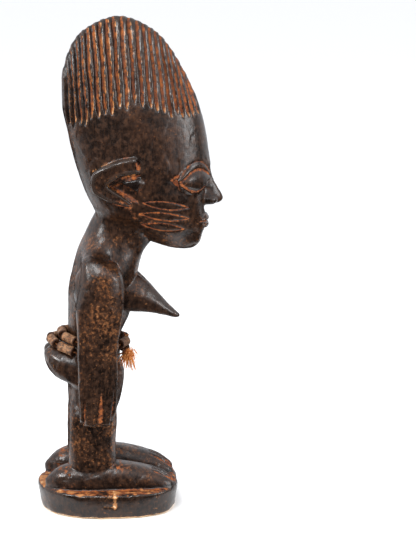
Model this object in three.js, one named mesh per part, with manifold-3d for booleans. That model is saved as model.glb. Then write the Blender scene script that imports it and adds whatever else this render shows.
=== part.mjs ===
// A standing twin figure carved from one block of wood with its round plinth, and two strands of tube beads
// tied round its hips. Millimetres, +Z up. The figure faces -Y, and the origin is the centre of the plinth's
// underside. "Ahead" below means towards -Y, and "out" means away from the middle plane X = 0.
import * as THREE from "three";
import { mergeVertices } from "three/addons/utils/BufferGeometryUtils.js";
import Module from "manifold-3d";

const wasm = await Module();
wasm.setup();

// Plinth
const plinthLength = 83.4;
const plinthWidth = 72;
const plinthHeight = 15.6;
const plinthTaper = 1.6; // how far the wall leans in from top to bottom
const plinthTopEdge = 1.4;
const plinthBottomEdge = 2.6;
const plinthFrontSquareness = 3;
const plinthBackSquareness = 2.2;

// Figure, whose free forms are in hundredths of its height above the plinth
const bodyHeight = 276;
const part = bodyHeight / 100;
const legWidth = 20;
const legGap = 8.4;
const toeMargin = 1.5;
const heelMargin = 4.2;
const sunk = 2; // how far one form runs into the next

// Beads and their strings
const beadLength = 10.4;
const beadDiameter = 5.7;
const beadBore = 3.0;
const stringDiameter = 1.1;
const knotDiameter = 3.8;
const fibreDiameter = 1.1; // at the knot, tapering to its tip
const fibreTip = 0.6;
const upperBareString = 6; // the length of strand that no bead covers, with the knot in its middle
const lowerBareString = 18;
const clearance = 0.35;
const strandParting = 0.3; // how much wider than the clearance the two strands lie apart in front
const stringPlay = 0.2; // how far the string runs straight out of a bead
const strandSlack = 0.7; // how loosely the strands lie at the sides
const bellyBulge = 0.15; // how far the belly pushes them out in front
const upperSag = 1.4; // how much lower a strand hangs at the sides than straight from back to front
const lowerSag = 2.2;
const shelfReach = 6.2; // how much further back the lower strand lies, on the buttocks

// Coiffure
const grooveCount = 21;
const grooveWidth = 2.1;
const grooveDepth = 1.3;
const grooveBack = -7.4; // the first groove's place at the hairline, and the last one's, in hundredths
const grooveFront = 19.0;
const grooveCrowding = 0.03; // the share by which grooves crowd together at both ends

// Fingers and toes
const fingerGrooveDepth = 1.5;
const toeGrooveDepth = 1.3;
const toeGrooveWidth = 1.7;

const up = (hundredths) => plinthHeight + hundredths * part;
const point = (x, ahead, z) => new THREE.Vector3(x, -ahead, z);
// A unit circle's coordinate on the matching axis of a superellipse
const squared = (value, fullness) =>
  Math.sign(value) * Math.abs(value) ** (2 / fullness);

// A closed geometry as a solid
function solid(geometry) {
  geometry.deleteAttribute("normal");
  geometry.deleteAttribute("uv");
  const welded = mergeVertices(geometry, 1e-4);
  return new wasm.Manifold(
    new wasm.Mesh({
      numProp: 3,
      vertProperties: welded.getAttribute("position").array,
      triVerts: new Uint32Array(welded.index.array),
    }),
  );
}

// A unit cylinder whose every point goes through place(along, x, z): along runs from 0 to 1, and x and z are
// the point's place in the unit circle, with 0, 0 at the middle of a cap.
function loft(around, rings, place) {
  const form = new THREE.CylinderGeometry(1, 1, 1, around, rings);
  const spots = form.getAttribute("position");
  for (let i = 0; i < spots.count; i++) {
    const spot = place(spots.getY(i) + 0.5, spots.getX(i), spots.getZ(i));
    spots.setXYZ(i, spot.x, spot.y, spot.z);
  }
  return solid(form);
}

// A smooth curve through the rows of a table, read at 0 for the first row, 1 for the next, and so on
function smooth(rows) {
  const width = rows[0].length;
  const curve = new THREE.CubicInterpolant(
    rows.map((row, i) => i),
    rows.flat(),
    width,
    new Array(width),
  );
  return (place) => [...curve.evaluate(place)];
}

// An upright form through sections that each run from a point on its back to a point on its front.
// A section is: height at the back, back, height at the front, front, half width, fullness.
function standing(sections, around, cleft = () => 0) {
  return loft(around, sections.length - 1, (along, x, z) => {
    const ring = Math.round(along * (sections.length - 1));
    const [upBack, back, upFront, front, half, fullness] = sections[ring];
    const across = squared(x, fullness) * half * part;
    const share = (1 + squared(z, fullness)) / 2;
    return point(
      across,
      (back + (front - back) * share) * part + (z < 0 ? cleft(ring, across) : 0),
      up(upBack + (upFront - upBack) * share),
    );
  });
}

function ball(centre, radii, turn = [0, 0, 0], around = 14, rings = 8) {
  const form = new THREE.SphereGeometry(1, around, rings);
  form.scale(...radii);
  form.applyMatrix4(
    new THREE.Matrix4().makeRotationFromEuler(new THREE.Euler(...turn)),
  );
  form.translate(centre.x, centre.y, centre.z);
  return solid(form);
}

// A bar along a curve that never runs sideways, with its half width and half depth given at a share of the
// way along. It is round unless its depth is given.
function bar(curve, width, sides, steps, depth = width) {
  const sideways = new THREE.Vector3(1, 0, 0);
  return loft(sides, steps, (along, x, z) => {
    const way = curve.getTangentAt(along);
    const flat = new THREE.Vector3().crossVectors(sideways, way).normalize();
    const out = new THREE.Vector3().crossVectors(way, flat);
    return curve
      .getPointAt(along)
      .addScaledVector(flat, z * width(along))
      .addScaledVector(out, x * depth(along));
  });
}

// A cutter with a V section along a path. at(along) gives a point on the surface, inward(way) the direction
// of the groove's bottom and deep(along) its depth. slope is half its width for each millimetre of depth.
// The cutter stands proud of the surface.
function blade(steps, at, inward, deep, slope) {
  const proud = 0.8;
  return loft(3, steps, (along, x, z) => {
    const way = at(Math.min(along + 0.01, 1)).sub(at(Math.max(along - 0.01, 0)));
    const down = inward(way).normalize();
    const side = new THREE.Vector3().crossVectors(way, down).normalize();
    const depth = deep(along);
    const share = x / Math.sin(Math.PI / 3);
    return at(along)
      .addScaledVector(down, z > 0 ? depth : -proud)
      .addScaledVector(side, share * slope(along) * (depth + proud));
  });
}

const joined = (solids) => solids.reduce((whole, next) => whole.add(next));
const cut = (body, cutters) =>
  cutters.reduce((rest, cutter) => rest.subtract(cutter), body);
const bothSides = (make) => [make(1), make(-1)];

// The plinth: a drum whose plan is squarer at the toes than at the heels, with both edges rounded
function plinth() {
  const rings = [
    [0, plinthTaper + plinthBottomEdge],
    [plinthBottomEdge * 0.3, plinthTaper + plinthBottomEdge * 0.3],
    [plinthBottomEdge, plinthTaper],
    [plinthHeight - plinthTopEdge, 0],
    [plinthHeight, plinthTopEdge],
  ];
  return loft(40, rings.length - 1, (along, x, z) => {
    const [height, inset] = rings[Math.round(along * (rings.length - 1))];
    const squareness = z > 0 ? plinthFrontSquareness : plinthBackSquareness;
    return point(
      squared(x, squareness) * (plinthWidth / 2 - inset),
      squared(z, squareness) * (plinthLength / 2 - inset),
      height,
    );
  });
}

// A foot runs from the heel to the toes within the plinth's length.
// A row is: place along the foot, height, half width, shift outwards.
const legCentre = (legGap + legWidth) / 2;
const toes = plinthLength / 2 - toeMargin;
const heel = -plinthLength / 2 + heelMargin;
const footRows = [
  [0, 1.6, 0.3, 0.1],
  [0.04, 2.5, 1.7, 0.1],
  [0.1, 3.7, 3.0, 0.15],
  [0.2, 4.5, 4.0, 0.2],
  [0.38, 4.9, 4.35, 0.25],
  [0.57, 4.75, 4.3, 0.25],
  [0.73, 3.9, 4.2, 0.2],
  [0.87, 2.7, 4.1, 0.1],
  [0.96, 1.7, 3.6, -0.2],
  [1, 0.95, 2.4, -0.7],
];
const footSection = smooth(footRows);
const footFullness = 2.5;

function foot(side) {
  const last = footRows.length - 1;
  return loft(14, last, (along, x, z) => {
    const [place, height, half, shift] = footSection(along * last);
    const rise = z > 0 ? squared(z, footFullness) * (height * part + sunk) : z * sunk;
    return point(
      side * (legCentre + shift * part) - squared(x, footFullness) * half * part,
      heel + (toes - heel) * place,
      plinthHeight - sunk + rise,
    );
  });
}

// Four grooves between the toes fan out from the instep to the foot's end and run off it
const toeGroovePlaces = [-0.58, -0.2, 0.18, 0.55]; // shares of the foot's half width, outwards
const toeGrooveStart = 6.6; // the row of the foot's table where the grooves begin
const toeGrooveRunOff = 2;

function toeGrooves(side) {
  const last = footRows.length - 1;
  return toeGroovePlaces.map((share) =>
    blade(
      3,
      (along) => {
        const row = toeGrooveStart + (last - toeGrooveStart) * along;
        const [place, height, half, shift] = footSection(row);
        const spread = share * (0.8 + 0.2 * along);
        const rise = (1 - Math.abs(spread) ** footFullness) ** (1 / footFullness);
        return point(
          side * (legCentre + (shift + spread * half) * part),
          heel + (toes - heel) * place + toeGrooveRunOff * along ** 4,
          plinthHeight - sunk + rise * (height * part + sunk) + 0.2,
        );
      },
      () => new THREE.Vector3(side * -share * 0.6, 0, -1),
      (along) => toeGrooveDepth * Math.min(1, 0.15 + along * 2),
      () => toeGrooveWidth / 2 / toeGrooveDepth,
    ),
  );
}

// Legs: near-straight posts that end inside the hips. A row is: height, back, front, share of the width.
const legRows = [
  [-0.7, -8.55, 1.8, 1],
  [4.7, -8.5, 1.75, 1],
  [10.1, -8.45, 1.65, 0.99],
  [15.2, -8.3, 1.9, 0.97],
  [19.5, -7.6, 1.6, 0.6],
];

function leg(side) {
  const section = smooth(legRows);
  const fullness = 2.5;
  return loft(14, legRows.length - 1, (along, x, z) => {
    const [height, back, front, share] = section(along * (legRows.length - 1));
    return point(
      side * legCentre * (0.4 + 0.6 * share ** 0.5) +
        squared(x, fullness) * (legWidth / 2) * share,
      (back + ((front - back) * (1 + squared(z, fullness))) / 2) * part,
      up(height),
    );
  });
}

// Neck, chest, waist and hips. The waist is the narrow stretch that the beads lie round, and the shelf
// above the buttocks carries the lower strand.
const waist = { upBack: 32.2, back: -8.2, upFront: 30.1, front: 2.95, half: 5.5 };
const trunkRows = [
  [16.7, -8.2, 16.1, 2.05, 8.25, 2.5],
  [19.8, -8.3, 18.0, 2.8, 8.2, 2.5],
  [22.1, -8.5, 20.1, 3.3, 8.0, 2.5],
  [24.1, -11.7, 22.1, 3.65, 7.7, 2.5],
  [26.2, -13.1, 24.1, 3.75, 7.4, 2.5],
  [28.6, -13.6, 25.0, 3.6, 6.9, 2.4],
  [30.1, -12.5, 26.0, 3.35, 6.0, 2.2],
  [30.55, -8.5, 27.3, 2.95, 5.5, 2],
  [waist.upBack, waist.back, waist.upFront, waist.front, waist.half, 2],
  [34.6, -8.1, 32.6, 3.2, 5.6, 2],
  [37.7, -8.0, 36.4, 4.9, 6.0, 2.3],
  [41.3, -8.0, 40.8, 6.0, 6.7, 2.3],
  [45.7, -7.2, 45.5, 6.75, 7.4, 2.3],
  [50.2, -6.0, 48.6, 7.5, 6.7, 2.2],
  [54.0, -4.35, 50.5, 8.3, 5.5, 2.1],
  [58.6, -2.0, 52.7, 10.0, 5.1, 2],
  [63.0, 1.4, 57.2, 13.0, 4.8, 2],
];

const cleftDepth = 6;
const cleftWidth = 6;
const widestButtocks = 5; // their row in the table

function trunk() {
  const cleft = (ring, across) =>
    cleftDepth *
    Math.max(0, 1 - Math.abs(ring - widestButtocks) * 0.4) *
    Math.exp(-((across / (cleftWidth / 2)) ** 2));
  return standing(trunkRows, 26, cleft);
}

// Breasts: pointed forms, level below. The left one is carved a little shorter and lower.
// A row is: ahead, top, bottom, half width, out.
const breastRows = [
  [1.5, 47.4, 37.8, 3.3, 2.7],
  [6.2, 46.0, 37.7, 3.0, 2.75],
  [9.4, 43.4, 37.4, 2.4, 2.8],
  [12.3, 40.2, 36.8, 1.65, 2.9],
  [14.7, 37.7, 36.2, 0.95, 2.95],
  [15.6, 36.9, 36.3, 0.4, 3.0],
];
const leftBreastDrop = 0.8;
const leftBreastReach = 0.95;

function breast(side) {
  const section = smooth(breastRows);
  const last = breastRows.length - 1;
  return loft(12, last, (along, x, z) => {
    const [ahead, top, bottom, half, out] = section(along * last);
    const drop = side > 0 ? leftBreastDrop * along : 0;
    return point(
      side * out * part - squared(x, 2) * half * part,
      ahead * part * (side > 0 ? leftBreastReach : 1),
      up((top + bottom) / 2 + ((top - bottom) / 2) * squared(z, 2) - drop),
    );
  });
}

// Arms hang clear of the beads, and their hands end on the thighs. The shoulders slope down to the front.
// A row is: height, back, front, step outwards of the inner face, thickness, fullness, how much lower the
// front is than the back.
const beadRest = clearance + beadDiameter / 2;
const strandHalf = waist.half * part + beadRest + strandSlack;
const armInner = Math.hypot(strandHalf, beadLength / 2) + beadDiameter / 2 + clearance;
const armRows = [
  [14.8, -5.2, 0.3, -0.2, 4.3, 2.3, 0],
  [15.9, -6.1, 1.0, -0.6, 5.4, 2.7, 0],
  [18.8, -6.25, 1.65, -0.3, 5.2, 2.8, 0],
  [23.2, -6.4, 1.9, 0, 4.8, 2.8, 0],
  [28.3, -6.45, 1.9, 0, 4.75, 2.8, 0],
  [32.6, -6.45, 2.1, 0, 4.9, 2.7, 0],
  [36.9, -6.5, 2.75, -0.3, 5.3, 2.6, 0],
  [39.9, -6.6, 3.3, -1.7, 6.9, 2.5, 0],
  [44.3, -6.6, 3.6, -2.9, 8.1, 2.4, 0.5],
  [47.6, -6.5, 3.3, -3.6, 8.1, 2.3, 1.3],
  [49.8, -6.1, 2.3, -4.0, 7.0, 2.2, 1.9],
  [50.7, -4.7, 0.7, -4.0, 4.4, 2.1, 1.3],
];
const armSection = smooth(armRows);

function arm(side) {
  const last = armRows.length - 1;
  return loft(14, last, (along, x, z) => {
    const [height, back, front, step, thickness, fullness, fall] = armSection(along * last);
    const share = (1 + squared(z, fullness)) / 2;
    return point(
      side * (armInner + (step + thickness / 2) * part) +
        (squared(x, fullness) * thickness * part) / 2,
      (back + (front - back) * share) * part,
      up(height + fall * (0.5 - share)),
    );
  });
}

// The slope from the neck down to each shoulder, and each shoulder blade. tilt is how far the slope falls
// outwards, in radians.
const shoulderForms = [
  { out: 4.6, ahead: -1.0, height: 50.4, radii: [6.0, 4.3, 2.6], tilt: 0.5 },
  { out: 7.0, ahead: -4.9, height: 45.8, radii: [3.3, 2.4, 5.4], tilt: 0 },
];

function shoulder(side) {
  const forms = shoulderForms.map(({ out, ahead, height, radii, tilt }) => {
    const centre = point(side * out * part, ahead * part, up(height));
    return ball(centre, radii.map((r) => r * part), [0, side * tilt, 0]);
  });
  return joined(forms);
}

// Three grooves part the four fingers, running down to the end of the hand. Each is: place of its upper end,
// height of its upper end, place of its lower end, width at its lower end.
const fingerGrooves = [
  [-4.95, 22.2, -5.6, 1.0],
  [-1.6, 23.2, -1.95, 2.2],
  [1.3, 23.4, 0.5, 0.9],
];
const fingertips = 14.2; // the height where the grooves run off the hand

function handGrooves(side) {
  const outer = armInner + armRows[1][4] * part;
  return fingerGrooves.map(([top, height, bottom, width]) =>
    blade(
      4,
      (along) =>
        point(
          side * (outer + 0.2 * part - along * 0.25 * part),
          (top + (bottom - top) * along) * part,
          up(height + (fingertips - height) * along),
        ),
      () => new THREE.Vector3(-side, 0, 0),
      (along) => fingerGrooveDepth * Math.min(1, 0.1 + along * 2),
      (along) => ((0.5 + (width - 0.5) * along) * part) / 2 / fingerGrooveDepth,
    ),
  );
}

// Head and coiffure in one egg-shaped form that closes to a thin crest. Rows from the hairline up are level.
const headRows = [
  [54.2, 5.1, 50.4, 15.9, 2.6, 2],
  [57.4, 1.1, 51.8, 19.0, 5.3, 2.1],
  [58.6, -1.7, 55.4, 20.4, 7.4, 2.3],
  [60.1, -2.6, 59.8, 21.0, 8.9, 2.3],
  [63.0, -4.0, 64.4, 21.0, 9.7, 2.3],
  [67.0, -5.4, 68.6, 22.4, 9.75, 2.3],
  [70.9, -6.5, 70.9, 22.15, 9.5, 2.3],
  [76.3, -7.7, 76.3, 21.3, 8.8, 2.2],
  [81.9, -8.7, 81.9, 19.85, 7.7, 2.2],
  [87.0, -8.7, 87.0, 17.7, 6.2, 2.1],
  [92.4, -7.4, 92.4, 14.7, 4.5, 2.1],
  [96.5, -4.9, 96.5, 11.4, 3.0, 2],
  [99.0, -0.9, 99.0, 7.3, 1.6, 2],
  [100, 2.1, 100, 4.4, 0.6, 2],
];
const headSection = smooth(headRows);
const headTop = headRows.length - 1;

// The head's half width at a place ahead and a height, or nothing outside it
function headHalf(ahead, height) {
  const levelThere = (row) => {
    const [upBack, back, upFront, front] = headSection(row);
    return upBack + ((upFront - upBack) * (ahead - back)) / (front - back);
  };
  let low = 0;
  let high = headTop;
  for (let i = 0; i < 24; i++) {
    const middle = (low + high) / 2;
    if (levelThere(middle) < height) low = middle;
    else high = middle;
  }
  const [, back, , front, half, fullness] = headSection(low);
  const share = Math.abs((ahead - (back + front) / 2) / ((front - back) / 2));
  return share < 1 ? half * (1 - share ** fullness) ** (1 / fullness) : 0;
}

// The head below the coiffure, whose top is a core that the coiffure sits round
const parting = 7; // the row where the coiffure's form starts, a little under the hairline
const coreInset = 1.2;

function headBelow() {
  const sections = headRows.slice(0, parting + 1);
  for (const rise of [0, 3]) {
    const [height, back, , front, half, fullness] = headRows[parting];
    sections.push([
      height + rise,
      back + coreInset + rise / 3,
      height + rise,
      front - coreInset - rise / 3,
      half - coreInset - rise / 3,
      fullness,
    ]);
  }
  return standing(sections, 28);
}

// The coiffure is made of slices in planes that run up one side of the head, over the crest and down the
// other. Each groove has a slice at both its edges and one at its bottom. The hairline is highest above the
// ear, and the foremost slices lean back most.
// A row of the hairline is: place ahead, height.
const hairlineRows = [
  [-7.4, 76.9],
  [-5.0, 78.1],
  [-1.5, 80.3],
  [7.0, 82.4],
  [14.5, 79.9],
  [19.0, 79.5],
];
const hairlineCurve = new THREE.LinearInterpolant(
  hairlineRows.map(([ahead]) => ahead),
  hairlineRows.map(([, height]) => height),
  1,
  [0],
);
const hairlineStagger = 0.5; // every other groove starts this much lower
const slopeLength = 1.2; // how far above the hairline a groove reaches its full depth
const leastLean = 0.05;
const frontLean = 0.2;
const grooveRows = 5; // rows of points from there up to the crest

function slice(start, index, sunkBy) {
  const fromMiddle = (2 * start - grooveBack - grooveFront) / (grooveFront - grooveBack);
  const hairline = hairlineCurve.evaluate(start)[0] - hairlineStagger * (index % 2);
  const lean = leastLean + frontLean * Math.max(0, fromMiddle) ** 2;
  const ahead = (height) => start - lean * (height - hairline);
  const within = (height) => headHalf(ahead(height), height) > 0;
  const step = 0.05;
  let bottom = headRows[parting][0];
  while (!within(bottom)) bottom += step;
  let crest = bottom + step;
  while (crest < 99.95 && within(crest + step)) crest += step;
  // Heights from the bottom up: one at the hairline, one where the groove is full, and then up to the crest
  const full = hairline + slopeLength;
  const heights = [bottom, hairline, full];
  for (let i = 1; i <= grooveRows; i++) {
    heights.push(full + (crest - full) * Math.sin((Math.PI * i) / grooveRows / 2));
  }
  const last = heights.length - 1;
  const kept = heights.map((height, i) =>
    Math.min(Math.max(height, bottom + i * step), crest - (last - i) * step),
  );
  return kept.map((height, i) => {
    const depth = sunkBy * (i < 2 ? 0 : 1);
    const half = i === last ? 0 : Math.max(headHalf(ahead(height), height), 0.1);
    const below = Math.max(headHalf(ahead(height - step), height - step), 0.1);
    const flat = i === last ? Math.PI / 2 : Math.atan2(below - half, step);
    const sunkHeight = height - depth * Math.sin(flat);
    return {
      half: i === last ? 0 : Math.max(half - depth * Math.cos(flat), 0.1),
      ahead: ahead(sunkHeight),
      height: sunkHeight,
    };
  });
}

// Slices that close the coiffure behind its last groove and ahead of its first, ungrooved
const backSlices = [-8.38, -8.25, -8.0];
const frontSlices = [19.55, 19.95, 20.2];

function coiffure() {
  const slices = backSlices.map((start) => slice(start, 0, 0));
  const edge = grooveWidth / 2 / part;
  for (let index = 0; index < grooveCount; index++) {
    const share = index / (grooveCount - 1);
    const spread = share - grooveCrowding * Math.sin(2 * Math.PI * share);
    const start = grooveBack + (grooveFront - grooveBack) * spread;
    slices.push(slice(start - edge, index, 0));
    slices.push(slice(start, index, grooveDepth / part));
    slices.push(slice(start + edge, index, 0));
  }
  slices.push(...frontSlices.map((start) => slice(start, 0, 0)));
  const crest = slices[0].length - 1;
  const around = 2 * crest + 1;
  return loft(around, slices.length - 1, (along, x, z) => {
    const ring = slices[Math.round(along * (slices.length - 1))];
    if (Math.hypot(x, z) < 0.5) {
      const middle = (ring[0].height + ring[crest].height) / 2;
      const ahead = (ring[0].ahead + ring[crest].ahead) / 2;
      return point(0, ahead * part, up(middle));
    }
    const turn = Math.round((Math.atan2(x, z) / (2 * Math.PI)) * around);
    const index = (turn + around) % around;
    const side = index <= crest ? 1 : -1;
    const { half, ahead, height } = ring[index <= crest ? index : 2 * crest - index];
    return point(side * half * part, ahead * part, up(height));
  });
}

// Ears: a broad rim like a horseshoe, open ahead, round a small raised tongue.
// A rim point is: ahead, height, half width.
const rimInset = 0.2; // how far the rim's ends sink into the head
const rimThickness = 1.2; // half of it
const earRim = [
  [6.3, 70.0, 1.7],
  [3.2, 69.5, 1.7],
  [0.7, 68.5, 1.8],
  [-1.1, 67.1, 2.0],
  [-1.3, 65.6, 1.9],
  [0.0, 64.2, 1.5],
  [2.2, 63.1, 1.15],
  [4.9, 61.7, 0.5],
];
const earStand = 1.0; // how far the rim's middle line stands off the head at the back
const earTongue = { ahead: 5.6, height: 66.2, stand: -0.2, thick: 1.1, long: 1.9, high: 1.25 };

function ear(side) {
  const seat = (ahead, height, stand) =>
    point(side * (headHalf(ahead, height) + stand) * part, ahead * part, up(height));
  const last = earRim.length - 1;
  const rim = new THREE.CatmullRomCurve3(
    earRim.map(([ahead, height], i) =>
      seat(ahead, height, earStand * Math.sin((Math.PI * i) / last) - rimInset),
    ),
  );
  const rimSection = smooth(earRim);
  const rimHalf = (along) => rimSection(along * last)[2] * part;
  const rimDepth = () => rimThickness * part;
  const { ahead, height, stand, thick, long, high } = earTongue;
  const radii = [thick * part, long * part, high * part];
  const tongue = ball(seat(ahead, height, stand), radii, [0, 0, side * 0.15], 8, 6);
  return bar(rim, rimHalf, 8, 14, rimDepth).add(tongue);
}

// The face is a plain one by the rule of thirds: hairline to brow, brow to nose and nose to chin are alike.
const face = { hairline: 80.0, chin: 50.4 };
const third = (face.hairline - face.chin) / 3;
const brow = face.hairline - third;
const noseBase = brow - third;
const mouth = noseBase - third / 3;
const eyeLine = brow - third * 0.4;
const eyeLength = 7.8;
const eyeHeight = 3.9;
const eyeAhead = 18.6;
const eyeTurn = 0.8; // how far each eye looks sideways, in radians

function eye(side) {
  const turn = [0, 0, -side * eyeTurn];
  const place = (out, height) => point(side * out * part, eyeAhead * part, up(height));
  const almond = (out, height, thick, long, high) =>
    ball(place(out, height), [thick * part, (long / 2) * part, (high / 2) * part], turn, 10, 6);
  const lids = almond(6.1, eyeLine + 0.3, 0.95, eyeLength + 1.4, eyeHeight + 1.5);
  return lids.add(almond(6.2, eyeLine, 1.3, eyeLength, eyeHeight));
}

// A row is: height, depth at the sides, ridge of the nose, half width.
const noseRows = [
  [brow + 0.4, 19.5, 22.3, 0.9],
  [eyeLine, 19.3, 22.5, 0.95],
  [(eyeLine + noseBase) / 2, 19.5, 23.6, 1.3],
  [noseBase + 0.9, 19.5, 24.7, 1.8],
  [noseBase, 19.6, 24.2, 1.7],
];

function nose() {
  const section = smooth([...noseRows].reverse());
  const ridge = loft(10, 4, (along, x, z) => {
    const [height, sides, front, half] = section(along * (noseRows.length - 1));
    return point(
      squared(x, 1.8) * half * part,
      (sides + (front - sides) * squared(z, 1.8)) * part,
      up(height),
    );
  });
  const wings = bothSides((side) =>
    ball(
      point(side * 1.75 * part, 22.2 * part, up(noseBase + 0.75)),
      [1.1 * part, 1.35 * part, 1.0 * part],
      [0, 0, 0],
      8,
      6,
    ),
  );
  return joined([ridge, ...wings]);
}

// Flattened balls for the lips and the chin. A row is: height, ahead, half width, half depth, half height.
const mouthRows = [
  [mouth + 0.75, 21.0, 3.3, 2.3, 0.8],
  [mouth - 0.85, 20.7, 3.3, 2.3, 0.85],
  [face.chin + 2.6, 18.0, 3.6, 2.9, 2.5],
];

function mouthForms() {
  const forms = mouthRows.map(([height, ahead, ...radii]) =>
    ball(point(0, ahead * part, up(height)), radii.map((r) => r * part), [0, 0, 0], 12, 6),
  );
  return joined(forms);
}

function figure() {
  const head = headBelow().add(coiffure());
  const features = [...bothSides(ear), ...bothSides(eye), nose(), mouthForms()];
  const limbs = [
    ...bothSides((side) => cut(arm(side), handGrooves(side))),
    ...bothSides(shoulder),
    ...bothSides(leg),
    ...bothSides((side) => cut(foot(side), toeGrooves(side))),
    ...bothSides(breast),
  ];
  return joined([plinth(), trunk(), head, ...features, ...limbs]);
}

// A strand slopes down round the waist from back to front and sags at the sides. It starts and ends at its
// knot, which is turned away from the front by knotTurn.
class Strand extends THREE.Curve {
  constructor({ back, upBack, front, upFront, sag, knotTurn, bareString }) {
    super();
    Object.assign(this, { back, upBack, front, upFront, sag, knotTurn, bareString });
  }

  getPoint(share, target = new THREE.Vector3()) {
    const angle = 2 * Math.PI * share + this.knotTurn;
    const ahead = (1 + Math.cos(angle)) / 2;
    return target.copy(
      point(
        strandHalf * Math.sin(angle),
        this.back + (this.front - this.back) * ahead,
        this.upBack + (this.upFront - this.upBack) * ahead - this.sag * Math.sin(angle) ** 2,
      ),
    );
  }
}

const strandSpacing = beadDiameter + clearance + strandParting;
const upperStrand = new Strand({
  back: waist.back * part - beadRest - bellyBulge,
  upBack: up(32.6),
  front: waist.front * part + beadRest + bellyBulge,
  upFront: up(30.8),
  sag: upperSag,
  knotTurn: 0.05,
  bareString: upperBareString,
});
const lowerStrand = new Strand({
  back: upperStrand.back - shelfReach,
  upBack: up(30.2) + beadRest,
  front: upperStrand.front,
  upFront: upperStrand.upFront - strandSpacing,
  sag: lowerSag,
  knotTurn: -0.36,
  bareString: lowerBareString,
});

// Beads side by side with room to turn the corner between them
function beadPlaces(strand) {
  const length = strand.getLength();
  const beaded = length - strand.bareString;
  const turningRoom = beadDiameter * 0.28 + clearance;
  const count = Math.floor(beaded / (beadLength + turningRoom));
  const pitch = beaded / count;
  return Array.from({ length: count }, (_, i) => {
    const share = (strand.bareString / 2 + pitch * (i + 0.5)) / length;
    return { at: strand.getPointAt(share), way: strand.getTangentAt(share) };
  });
}

function bead() {
  const radius = beadDiameter / 2;
  const end = beadLength / 2;
  return new THREE.LatheGeometry(
    [
      [beadBore / 2, -end],
      [radius, -end],
      [radius, end],
      [beadBore / 2, end],
      [beadBore / 2, -end],
    ].map(([r, y]) => new THREE.Vector2(r, y)),
    8,
  );
}

// The string runs straight through each bead and bends between them. Its ends meet in a knot, and frayed
// fibres hang from the knot or stand up from it.
function string(strand, fibres) {
  const places = beadPlaces(strand);
  const knot = strand.getPointAt(0);
  const halfBead = beadLength / 2 + stringPlay;
  const stops = [
    knot,
    ...places.flatMap(({ at, way }) => [
      at.clone().addScaledVector(way, -halfBead),
      at.clone().addScaledVector(way, halfBead),
    ]),
    knot,
  ];
  const path = new THREE.CurvePath();
  for (let i = 1; i < stops.length; i++) {
    path.add(new THREE.LineCurve3(stops[i - 1], stops[i]));
  }
  const section = new THREE.Shape().absarc(0, 0, stringDiameter / 2, 0, 2 * Math.PI);
  const run = new THREE.ExtrudeGeometry(section, {
    extrudePath: path,
    steps: places.length * 3,
    curveSegments: 2,
    bevelEnabled: false,
  });
  const ends = fibres.map((ways) => {
    const fibre = new THREE.CatmullRomCurve3([
      knot,
      ...ways.map(([out, ahead, rise]) => knot.clone().add(point(out, ahead, rise))),
    ]);
    const radius = (along) => (fibreDiameter + (fibreTip - fibreDiameter) * along) / 2;
    return bar(fibre, radius, 4, 3);
  });
  const ballOfKnot = ball(knot, new Array(3).fill(knotDiameter / 2), [0, 0, 0], 8, 6);
  return joined([solid(run), ballOfKnot, ...ends]);
}

// Fibre points from the knot's middle: out, ahead, up
const hangingFibres = [
  [[0.3, 2.6, 0.9], [0.5, 5.2, 0.6], [0.8, 6.9, -3.2]],
  [[-0.5, 2.0, 0.4], [-0.8, 4.6, -3.4], [-1.0, 5.9, -9.6]],
  [[0.6, 1.6, -1.0], [1.0, 3.0, -4.8], [1.4, 3.8, -9.8]],
  [[-0.8, 0.9, -1.6], [-1.2, 1.3, -4.8], [-1.6, 1.0, -8.6]],
  [[-0.7, 0.2, -1.8], [-1.3, -0.9, -3.4], [-1.8, -2.0, -5.2]],
  [[-1.3, 1.6, 0.2], [-2.4, 3.2, -1.2], [-2.8, 4.0, -5.0]],
  [[1.3, 1.8, 0.2], [2.5, 3.4, -1.6], [3.1, 4.2, -6.0]],
];
const shortFibres = [
  [[-0.5, 0.2, 2.2], [-1.4, -0.2, 3.6]],
  [[0.8, 0.6, 2.2], [1.9, 0.9, 3.2]],
];

const patinatedWood = new THREE.MeshStandardMaterial({
  color: 0x3a2a22,
  roughness: 0.42,
  metalness: 0,
});
const weatheredShell = new THREE.MeshStandardMaterial({
  color: 0x7d6550,
  roughness: 0.75,
  metalness: 0,
});
const palmFibre = new THREE.MeshStandardMaterial({
  color: 0xb5652a,
  roughness: 0.9,
  metalness: 0,
});

function named(name, geometry, material) {
  const mesh = new THREE.Mesh(geometry, material);
  mesh.name = name;
  return mesh;
}

function geometryOf(body) {
  const mesh = body.getMesh();
  return new THREE.BufferGeometry()
    .setAttribute("position", new THREE.BufferAttribute(mesh.vertProperties, 3))
    .setIndex(new THREE.BufferAttribute(mesh.triVerts, 1));
}

function strandGroup(label, strand, fibres) {
  const group = new THREE.Group();
  const shape = bead();
  const axis = new THREE.Vector3(0, 1, 0);
  beadPlaces(strand).forEach(({ at, way }, i) => {
    const number = String(i + 1).padStart(2, "0");
    const mesh = named(`bead_${label}_${number}`, shape, weatheredShell);
    mesh.position.copy(at);
    mesh.quaternion.setFromUnitVectors(axis, way);
    group.add(mesh);
  });
  group.add(named(`string_${label}`, geometryOf(string(strand, fibres)), palmFibre));
  return group;
}

const twinFigure = new THREE.Group();
twinFigure.add(named("figure", geometryOf(figure()), patinatedWood));
twinFigure.add(strandGroup("upper", upperStrand, shortFibres));
twinFigure.add(strandGroup("lower", lowerStrand, hangingFibres));

export default twinFigure;
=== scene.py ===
import math

import bmesh
import bpy
import numpy as np
from mathutils import Matrix, Vector, noise
from mathutils.kdtree import KDTree


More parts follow.
